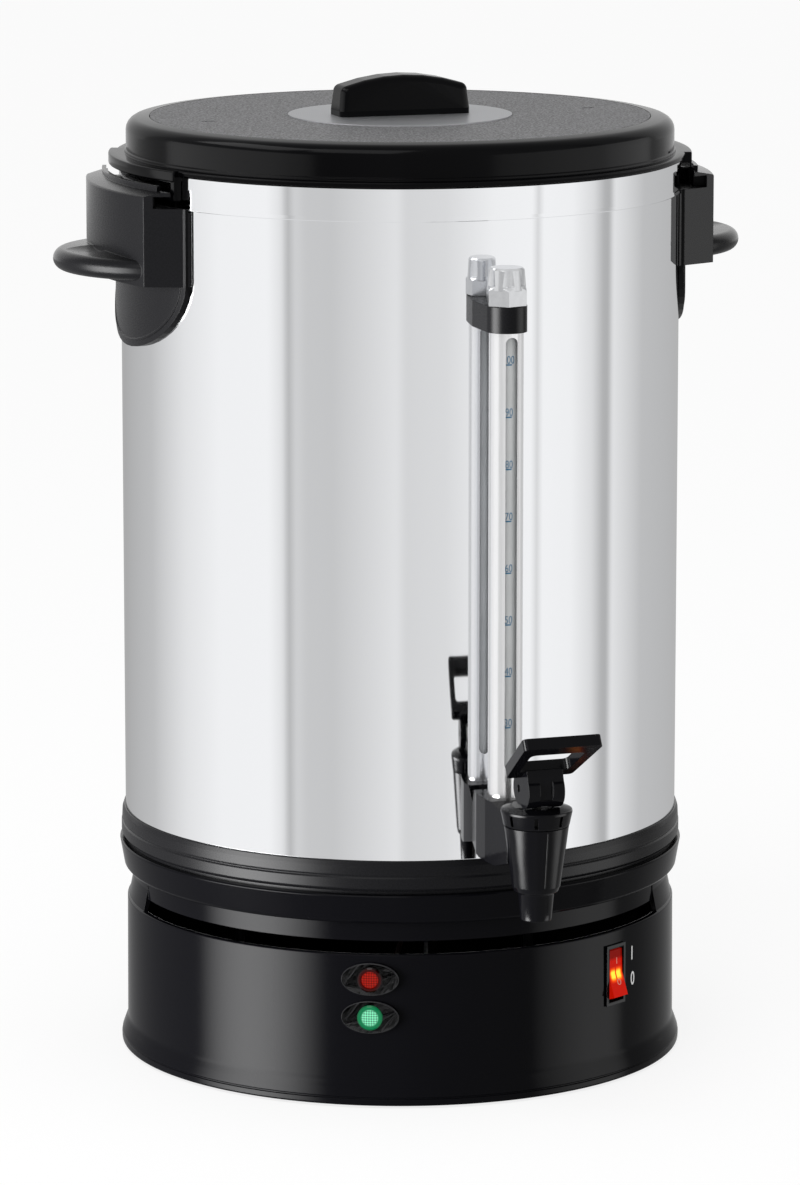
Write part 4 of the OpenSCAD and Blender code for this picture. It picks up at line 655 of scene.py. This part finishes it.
cut(body_shape, inlet, way="UNION")


def lengthwise(name, radii, heights, width, azimuth, proud):
    """A thin upright bar on a cone around the tap's axis, proud of it by a little."""
    sunk = -2.0
    out, side = directions(azimuth)
    spots = [Vector((*TAP_PLACE, z)) + out * (r + d) + side * w * width / 2
             for r, z in zip(radii, heights) for d, w in ((sunk, -1), (proud, -1), (proud, 1), (sunk, 1))]
    mesh = bpy.data.meshes.new(name)
    mesh.from_pydata([spot / 1000 for spot in spots], [],
                     [(0, 1, 2, 3), (7, 6, 5, 4), (0, 4, 5, 1), (1, 5, 6, 2), (2, 6, 7, 3), (3, 7, 4, 0)])
    made = bpy.data.objects.new(name, mesh)
    bpy.context.scene.collection.objects.link(made)
    return tidy(made)


# The body carries the fine line where the two halves of its mould met.
cut(body_shape, lengthwise("parting_line", (12.6, 16.6), (135.2, 164.8), 0.5, 1.5, 0.22), way="UNION")
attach(body_shape, "root")
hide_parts("tap_body")

bonnet = turned("bonnet_ring", [
    (2.7, 162.2), (9.7, 162.2), (9.7, 166.3), (16.6, 166.3, 0.2), (17.1, 166.9, 0.4),
    (18.5, 173.6, 0.5), (18.3, 174.8, 0.8), (13.2, 176.5, 1.5), (2.7, 176.5)],
    tap_phenolic, 120, TAP_PLACE)
cut(bonnet, *[lengthwise("key_slot", (16.9, 17.9), (167.4, 173.2), 1.9, -20 + 45 * i, 3) for i in range(8)])
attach(bonnet, "root")
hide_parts("tap_bonnet")
dress(tap_phenolic, "tap_shank", "tap_lever")
# Acetal of the valve stem: white and slightly waxy.
dress(grained("white_acetal", "DADAD4", "ECECE6", 1.5, (0.25, 0.35), 0.05), "valve_stem")

# ---------------------------------------------------------------- gauge
# A glass tube in a slotted shield, under a bracket and a plated cap. Its scale is
# printed on the glass: plain numbers from 100 down to 30, each over a tick.
dress(satin_phenolic, "gauge_bracket")
# Bright anodised aluminium of the gauge's shield, with a faint upright draw line.
dress(grained("bright_anodised", "F2F2F3", "FAFAFB", 0.7, (0.16, 0.26), 0.04, 0.85, (1, 1, 0.05)),
      "gauge_shield")
# Satin chrome plate of the gauge's cap.
dress(grained("satin_chrome", "D2D3D5", "DEDFE1", 3.0, (0.16, 0.2), 0.0, 1.0), "gauge_cap")

# Borosilicate glass of the gauge, clouded by scale from the water in patches about
# 25 mm wide.
clouded_glass, tree, body = finish("clouded_glass", "E4E6E6", Roughness=0.08, Alpha=0.85)
lime = noise(tree, 40.0, 3.0)
cloud = ranged(tree, lime.outputs["Fac"], (0.3, 0.7), (0.8, 0.92))
tree.links.new(cloud.outputs[0], body.inputs["Alpha"])
dress(clouded_glass, "gauge_glass")


def mottled(name, middle, dark, light, rough, scale, detail=1.0):
    """A material whose colour wanders between two close shades, over cells of 1 / scale metres."""
    made, tree, body = finish(name, middle, Roughness=rough)
    layer = noise(tree, scale, detail)
    shades = add(tree, "ShaderNodeMix", {"data_type": "RGBA", 6: linear(dark), 7: linear(light)},
                 {0: layer.outputs["Fac"]})
    tree.links.new(shades.outputs[2], body.inputs["Base Color"])
    return made


# Ceramic ink, printed and fired: a matt blue-green with a slightly uneven layer.
scale_ink = mottled("scale_ink", "2E6E92", "1C5A86", "3A86AA", 0.6, 3000.0)


def printed(name, words, width, height, material, place, weight=0.0):
    """Words as a thin raised print, whose lines weight makes bolder or thinner. The flat
    words are scaled first, and then each point is put in place by a map."""
    lift = 0.06
    text = bpy.data.curves.new(name, "FONT")
    text.body = words
    text.extrude = 0.01
    text.offset = weight
    flat = bpy.data.objects.new(name, text)
    bpy.context.scene.collection.objects.link(flat)
    mesh = bpy.data.meshes.new_from_object(flat.evaluated_get(bpy.context.evaluated_depsgraph_get()))
    bpy.data.objects.remove(flat)
    shape = bmesh.new()
    shape.from_mesh(mesh)
    bmesh.ops.remove_doubles(shape, verts=shape.verts, dist=1e-6)
    xs, ys = [v.co.x for v in shape.verts], [v.co.y for v in shape.verts]
    left, right, low, high = min(xs), max(xs), min(ys), max(ys)
    for v in shape.verts:
        v.co = place((v.co.x - (left + right) / 2) * width / (right - left),
                     (v.co.y - (low + high) / 2) * height / (high - low), lift if v.co.z > 0 else 0)
    shape.to_mesh(mesh)
    shape.free()
    mesh.materials.clear()
    mesh.materials.append(material)
    made = bpy.data.objects.new(name, mesh)
    bpy.context.scene.collection.objects.link(made)
    return made


GLASS_Y, GLASS_RADIUS = -171.5, 6.0
SCALE_SHIFT, TOP_TICK, TICK_PITCH, TICKS = -0.4, 397.9, 27.08, 8


def glass_map(height):
    """A map from millimetres across, up and out on the front of the glass to a point in metres."""
    def place(x, y, z):
        angle, radius = (x + SCALE_SHIFT) / GLASS_RADIUS, GLASS_RADIUS + z
        return Vector((math.sin(angle) * radius, GLASS_Y - math.cos(angle) * radius, height + y)) / 1000
    return place


for step in range(TICKS):
    number = str(100 - 10 * step)
    above = glass_map(TOP_TICK + 2.6 - TICK_PITCH * step)
    figure = printed("scale_" + number, number, 1.5 * len(number) + 0.9, 4.0, scale_ink, above, -0.006)
    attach(figure, "root")


def ticks_tree():
    """A tree that sets a row of ticks up a tube and bends each one around it."""
    tree = bpy.data.node_groups.new("tick_row", "GeometryNodeTree")
    sockets = {"Seed": "Geometry", "Count": "Int", "Pitch": "Float", "Radius": "Float", "Tick": "Vector",
               "Place": "Vector", "Finish": "Material"}
    for name, kind in sockets.items():
        tree.interface.new_socket(name, in_out="INPUT", socket_type="NodeSocket" + kind)
    tree.interface.new_socket("Row", in_out="OUTPUT", socket_type="NodeSocketGeometry")
    given = add(tree, "NodeGroupInput").outputs
    pitch = add(tree, "ShaderNodeCombineXYZ", links={"Z": given["Pitch"]})
    line = add(tree, "GeometryNodeMeshLine", links={"Count": given["Count"], "Offset": pitch.outputs[0]})
    tick = add(tree, "GeometryNodeMeshCube", {"Vertices X": 9}, {"Size": given["Tick"]})
    row = add(tree, "GeometryNodeInstanceOnPoints",
              links={"Points": line.outputs[0], "Instance": tick.outputs["Mesh"]})
    real = add(tree, "GeometryNodeRealizeInstances", links={0: row.outputs[0]})
    spot = add(tree, "GeometryNodeInputPosition")
    parts = add(tree, "ShaderNodeSeparateXYZ", links={0: spot.outputs[0]})
    angle = maths(tree, "DIVIDE", parts.outputs["X"], given["Radius"])
    reach = maths(tree, "SUBTRACT", parts.outputs["Y"], given["Radius"])
    upright = add(tree, "ShaderNodeCombineXYZ", links={"Y": reach.outputs[0], "Z": parts.outputs["Z"]})
    bent = add(tree, "ShaderNodeVectorRotate", {"rotation_type": "Z_AXIS"},
               {"Vector": upright.outputs[0], "Angle": angle.outputs[0]})
    there = add(tree, "ShaderNodeVectorMath", {"operation": "ADD"}, {0: bent.outputs[0], 1: given["Place"]})
    moved = add(tree, "GeometryNodeSetPosition",
                links={"Geometry": real.outputs[0], "Position": there.outputs[0]})
    dressed = add(tree, "GeometryNodeSetMaterial",
                  links={"Geometry": moved.outputs[0], "Material": given["Finish"]})
    add(tree, "NodeGroupOutput", links={0: dressed.outputs[0]})
    return tree


scale_ticks = tidy(grown(
    "scale_ticks", bpy.data.meshes.new("scale_ticks"), ticks_tree(), Count=TICKS, Pitch=-TICK_PITCH / 1000,
    Radius=(GLASS_RADIUS + 0.02) / 1000, Tick=(0.0036, 0.00008, 0.0007),
    Place=(SCALE_SHIFT / 1000, GLASS_Y / 1000, TOP_TICK / 1000), Finish=scale_ink))
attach(scale_ticks, "root")

# ---------------------------------------------------------------- controls
# Two pilot lamps in oval bezels, and a rocker with its on and off marks. The same
# marks are printed in white on the wall beside the rocker.
dress(tap_phenolic, "switch_frame")
dress(cream_polyamide, "lamp_bodies")

# Bowls of the lamp bezels: phenolic left matt by the mould, and lit facet by facet.
bowl_phenolic = grained("bowl_phenolic", "020203", "040405", 0.6, (0.55, 0.7), 0.0)
tree = bowl_phenolic.node_tree
body = tree.nodes["Principled BSDF"]
body.inputs["Specular IOR Level"].default_value = 0.02
facet = add(tree, "ShaderNodeNewGeometry")
tree.links.new(facet.outputs["True Normal"], body.inputs["Normal"])
dress(bowl_phenolic, "lamp_bezels")

# Rims of the bezels: the same phenolic, painted a satin grey all over that stands in for the highlight
# along their edge (painted highlight).
rim_highlight_phenolic = mottled("rim_highlight_phenolic", "2A2A2C", "1E1E20", "3A3A3C", 0.32, 700.0, 2.0)
for side, height in zip(("upper", "lower"), LAMP_HEIGHTS):
    place = wall_map(LAMP_AZIMUTH, height, WALL_RADIUS)
    rim = prism(side + "_bezel_rim", oval(30.4, 17.4, 96), 0.3, 1.9, place)
    rim.data.materials.append(rim_highlight_phenolic)
    cut(rim, prism("inside", oval(29.2, 16.2, 96), -1, 4, place))
    edge = rim.modifiers.new("edge", "BEVEL")
    edge.width = 0.0003
    edge.segments = 3
    edge.limit_method = "ANGLE"
    tidy(worked(rim))
    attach(rim, "root")

# Pad-printed ink: matt white, a touch uneven.
white_ink = mottled("white_ink", "F2F2F0", "E4E4E2", "FFFFFF", 0.6, 1500.0)
PRINTED_RADIUS = 149.45


def wall_print(azimuth, height):
    """A map like wall_map that follows the round wall."""
    def place(x, y, z):
        angle, radius = math.radians(azimuth) + x / PRINTED_RADIUS, PRINTED_RADIUS + z
        return Vector((math.sin(angle) * radius, -math.cos(angle) * radius, height + y)) / 1000
    return place


for name, words, width, azimuth, height in (("mark_on", "I", 1.0, 37.7, 67.2),
                                            ("mark_off", "0", 3.6, 38.0, 53.1)):
    mark = printed(name, words, width, 7.4, white_ink, wall_print(azimuth, height), 0.012)
    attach(mark, "root")


def wall_axes(tree, azimuth, height):
    """Nodes that split a place into metres across, out and up from a point on the wall."""
    place = add(tree, "ShaderNodeTexCoord")
    centre = wall_map(azimuth, height, WALL_RADIUS)(0, 0, 0)
    moved = add(tree, "ShaderNodeVectorMath", {"operation": "SUBTRACT", 1: centre},
                {0: place.outputs["Object"]})
    facing = add(tree, "ShaderNodeVectorRotate",
                 {"rotation_type": "Z_AXIS", "Angle": -math.radians(azimuth)},
                 {"Vector": moved.outputs[0]})
    return add(tree, "ShaderNodeSeparateXYZ", links={0: facing.outputs[0]})


# Tinted polycarbonate of the rocker: orange-red with a darker top band, and the neon
# lamp glowing through its middle on both sides of a web.
rocker_red, tree, body = finish("rocker_red", "D8280A", Roughness=0.25, **{"Specular IOR Level": 0.05})
parts = wall_axes(tree, SWITCH_AZIMUTH, SWITCH_HEIGHT)
across = maths(tree, "ABSOLUTE", parts.outputs["X"])
up = maths(tree, "ABSOLUTE", parts.outputs["Z"])
wide = ranged(tree, across.outputs[0], (0.0034, 0.0058), (1.0, 0.0))
tall = ranged(tree, up.outputs[0], (0.0014, 0.0044), (1.0, 0.0))
web = ranged(tree, across.outputs[0], (0.0002, 0.0007), (0.25, 1.0))
spread = maths(tree, "MULTIPLY", wide.outputs[0], tall.outputs[0])
split = maths(tree, "MULTIPLY", spread.outputs[0], web.outputs[0])
shades = add(tree, "ShaderNodeValToRGB", links={0: split.outputs[0]})
shades.color_ramp.elements[0].color = linear("E01402")
shades.color_ramp.elements[1].color = linear("FFD23C")
shades.color_ramp.elements.new(0.45).color = linear("F0560C")
band = ranged(tree, parts.outputs["Z"], (0.0075, 0.0095), (1.0, 0.35))
power = maths(tree, "MULTIPLY_ADD", split.outputs[0], 1.0, 0.42)
shown = maths(tree, "MULTIPLY", power.outputs[0], band.outputs[0])
tint = add(tree, "ShaderNodeMix", {"data_type": "RGBA", 6: linear("4A0804"), 7: linear("A01406")},
           {0: band.outputs[0]})
tree.links.new(tint.outputs[2], body.inputs["Base Color"])
tree.links.new(shades.outputs[0], body.inputs["Emission Color"])
tree.links.new(shown.outputs[0], body.inputs["Emission Strength"])
dress(rocker_red, "switch_rocker")

ROCKER_RADIUS, ROCKER_LEAN = 146.2, math.radians(10)
ROCKER_HALF, ROCKER_END, ROCKER_MIDDLE = 12.8, 5.6, 3.8


def rocker_map(height):
    """A map for a mark on a half of the rocker's hollow face, at a height from its axis."""
    half = 1 if height > 0 else -1
    middle = Vector((0, ROCKER_MIDDLE))
    along = (Vector((half * ROCKER_HALF, ROCKER_END)) - middle).normalized() * half
    base = middle + along * height
    wall = wall_map(SWITCH_AZIMUTH, SWITCH_HEIGHT, ROCKER_RADIUS)
    out = Vector((-along.y, along.x))
    across, proud = 1.2, 0.02
    cos, sin = math.cos(ROCKER_LEAN), math.sin(ROCKER_LEAN)

    def place(x, y, z):
        spot = base + along * y + out * (z + proud)
        return wall(x + across, spot.x * cos + spot.y * sin, spot.y * cos - spot.x * sin)
    return place


# The marks on the rocker are moulded in a paler plastic.
pale_plastic = mottled("pale_plastic", "F08A74", "EE7C66", "F8A492", 0.4, 1800.0, 2.0)
for name, words, width, height in (("rocker_on", "I", 0.6, 6.6), ("rocker_off", "0", 3.2, -5.0)):
    mark = printed(name, words, width, 3.4, pale_plastic, rocker_map(height))
    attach(mark, "rocker")

LENS_RADIUS, CELL_PITCH = 0.0068, 0.0013


def lens_finish(name, height, core, middle, edge, glow):
    """Tinted polycarbonate of a pilot lamp: a lit grid of small cells in the middle, a clear
    ring and a deep edge. The cells are 1 mm wide; they are drawn at 1.3 mm, so that they show."""
    made, tree, body = finish(name, middle, Roughness=0.08, **{"Specular IOR Level": 0.15})
    parts = wall_axes(tree, LAMP_AZIMUTH, height)
    flat = add(tree, "ShaderNodeCombineXYZ", links={"X": parts.outputs["X"], "Y": parts.outputs["Z"]})
    radius = add(tree, "ShaderNodeVectorMath", {"operation": "LENGTH"}, {0: flat.outputs[0]})
    zones = ranged(tree, radius.outputs["Value"], (0.0, LENS_RADIUS))
    shades = add(tree, "ShaderNodeValToRGB", links={0: zones.outputs[0]})
    stops = shades.color_ramp.elements
    stops[0].color = linear(core)
    stops[1].color = linear(edge)
    for at, code in ((0.62, core), (0.72, middle), (0.86, middle), (0.92, edge)):
        stops.new(at).color = linear(code)
    lattice = []
    for way in ("X", "Z"):
        stretched = maths(tree, "MULTIPLY", parts.outputs[way], 2 * math.pi / CELL_PITCH)
        lattice.append(maths(tree, "SINE", stretched.outputs[0]))
    cells = maths(tree, "ADD", lattice[0].outputs[0], lattice[1].outputs[0])
    depth = ranged(tree, cells.outputs[0], (-1.2, 1.2), (0.3, 1.0))
    inner = ranged(tree, radius.outputs["Value"], (0.0041, 0.0047), (1.0, 0.0))
    plain = maths(tree, "SUBTRACT", 1.0, inner.outputs[0])
    celled = maths(tree, "MULTIPLY", depth.outputs[0], inner.outputs[0])
    level = maths(tree, "MULTIPLY_ADD", plain.outputs[0], 0.45, celled.outputs[0])
    dim = add(tree, "ShaderNodeMix", {"data_type": "RGBA", "blend_type": "MULTIPLY", 0: 1.0},
              {6: shades.outputs[0], 7: level.outputs[0]})
    power = maths(tree, "MULTIPLY", level.outputs[0], glow)
    skin = add(tree, "ShaderNodeBump", {"Strength": 0.35, "Distance": 0.0002},
               {"Height": celled.outputs[0]})
    tree.links.new(dim.outputs[2], body.inputs["Base Color"])
    tree.links.new(shades.outputs[0], body.inputs["Emission Color"])
    tree.links.new(power.outputs[0], body.inputs["Emission Strength"])
    tree.links.new(skin.outputs[0], body.inputs["Normal"])
    return made


dress(lens_finish("red_lens", LAMP_HEIGHTS[0], "A81606", "4A0708", "180303", 0.4), "red_lamp_lens")
dress(lens_finish("green_lens", LAMP_HEIGHTS[1], "7CDEB0", "129A60", "0E8450", 0.6), "green_lamp_lens")

# ---------------------------------------------------------------- seals
# Rings and lips of silicone close the lid, the gauge and the tap. Two red ones lie
# inside and outside the tank where the tap's shank goes through.

# White silicone of the seals and the tap's seat: waxy.
dress(grained("white_silicone", "CFCCC0", "E0DDD2", 1.0, (0.45, 0.6)), "lid_seal", "seat_cup",
      "gauge_lower_seal", "gauge_cap_seal")
# Red silicone of the shank's seals: the same skin.
dress(grained("red_silicone", "9C4028", "C0583C", 1.0, (0.45, 0.6)), "shank_seals")

# ---------------------------------------------------------------- fasteners
# Three tie rods with nuts hold the base plate, the housing, the collars and the shell
# together. Plated screws fix everything else.

# Zinc plate on the screws and nuts: blue-grey and a little cloudy.
zinc_plate = grained("zinc_plate", "A8AAAE", "C8CACE", 1.5, (0.25, 0.4), 0.1, 1.0)
dress(zinc_plate, "base_plate_screws", "collar_screws", "tie_rod_nuts", "handle_screws", "shank_nut")
dress(zinc_plate, "lever_pin", "gauge_bracket_screw", "lid_handle_screws")
# Black oxide on the tie rods: dark and half matt.
dress(grained("black_oxide", "101012", "1C1C1E", 1.0, (0.4, 0.55), 0.1, 0.6), "tie_rods")

# ---------------------------------------------------------------- light on the black pieces
# The boxes made for black mouldings are told which pieces they light: the black ones
# of the frame, and the turned ones that stand in for some of them.
for part in frame["record"]["subparts"]:
    if part["material_slot"].startswith("black"):
        lit_as = lid_mouldings if part["node"].startswith("lid") else mouldings
        lit_as.objects.link(frame["nodes"][part["node"]])
lid_mouldings.objects.link(cover)
for piece in (housing, low_ring, bead_ring, body_shape, bonnet):
    mouldings.objects.link(piece)
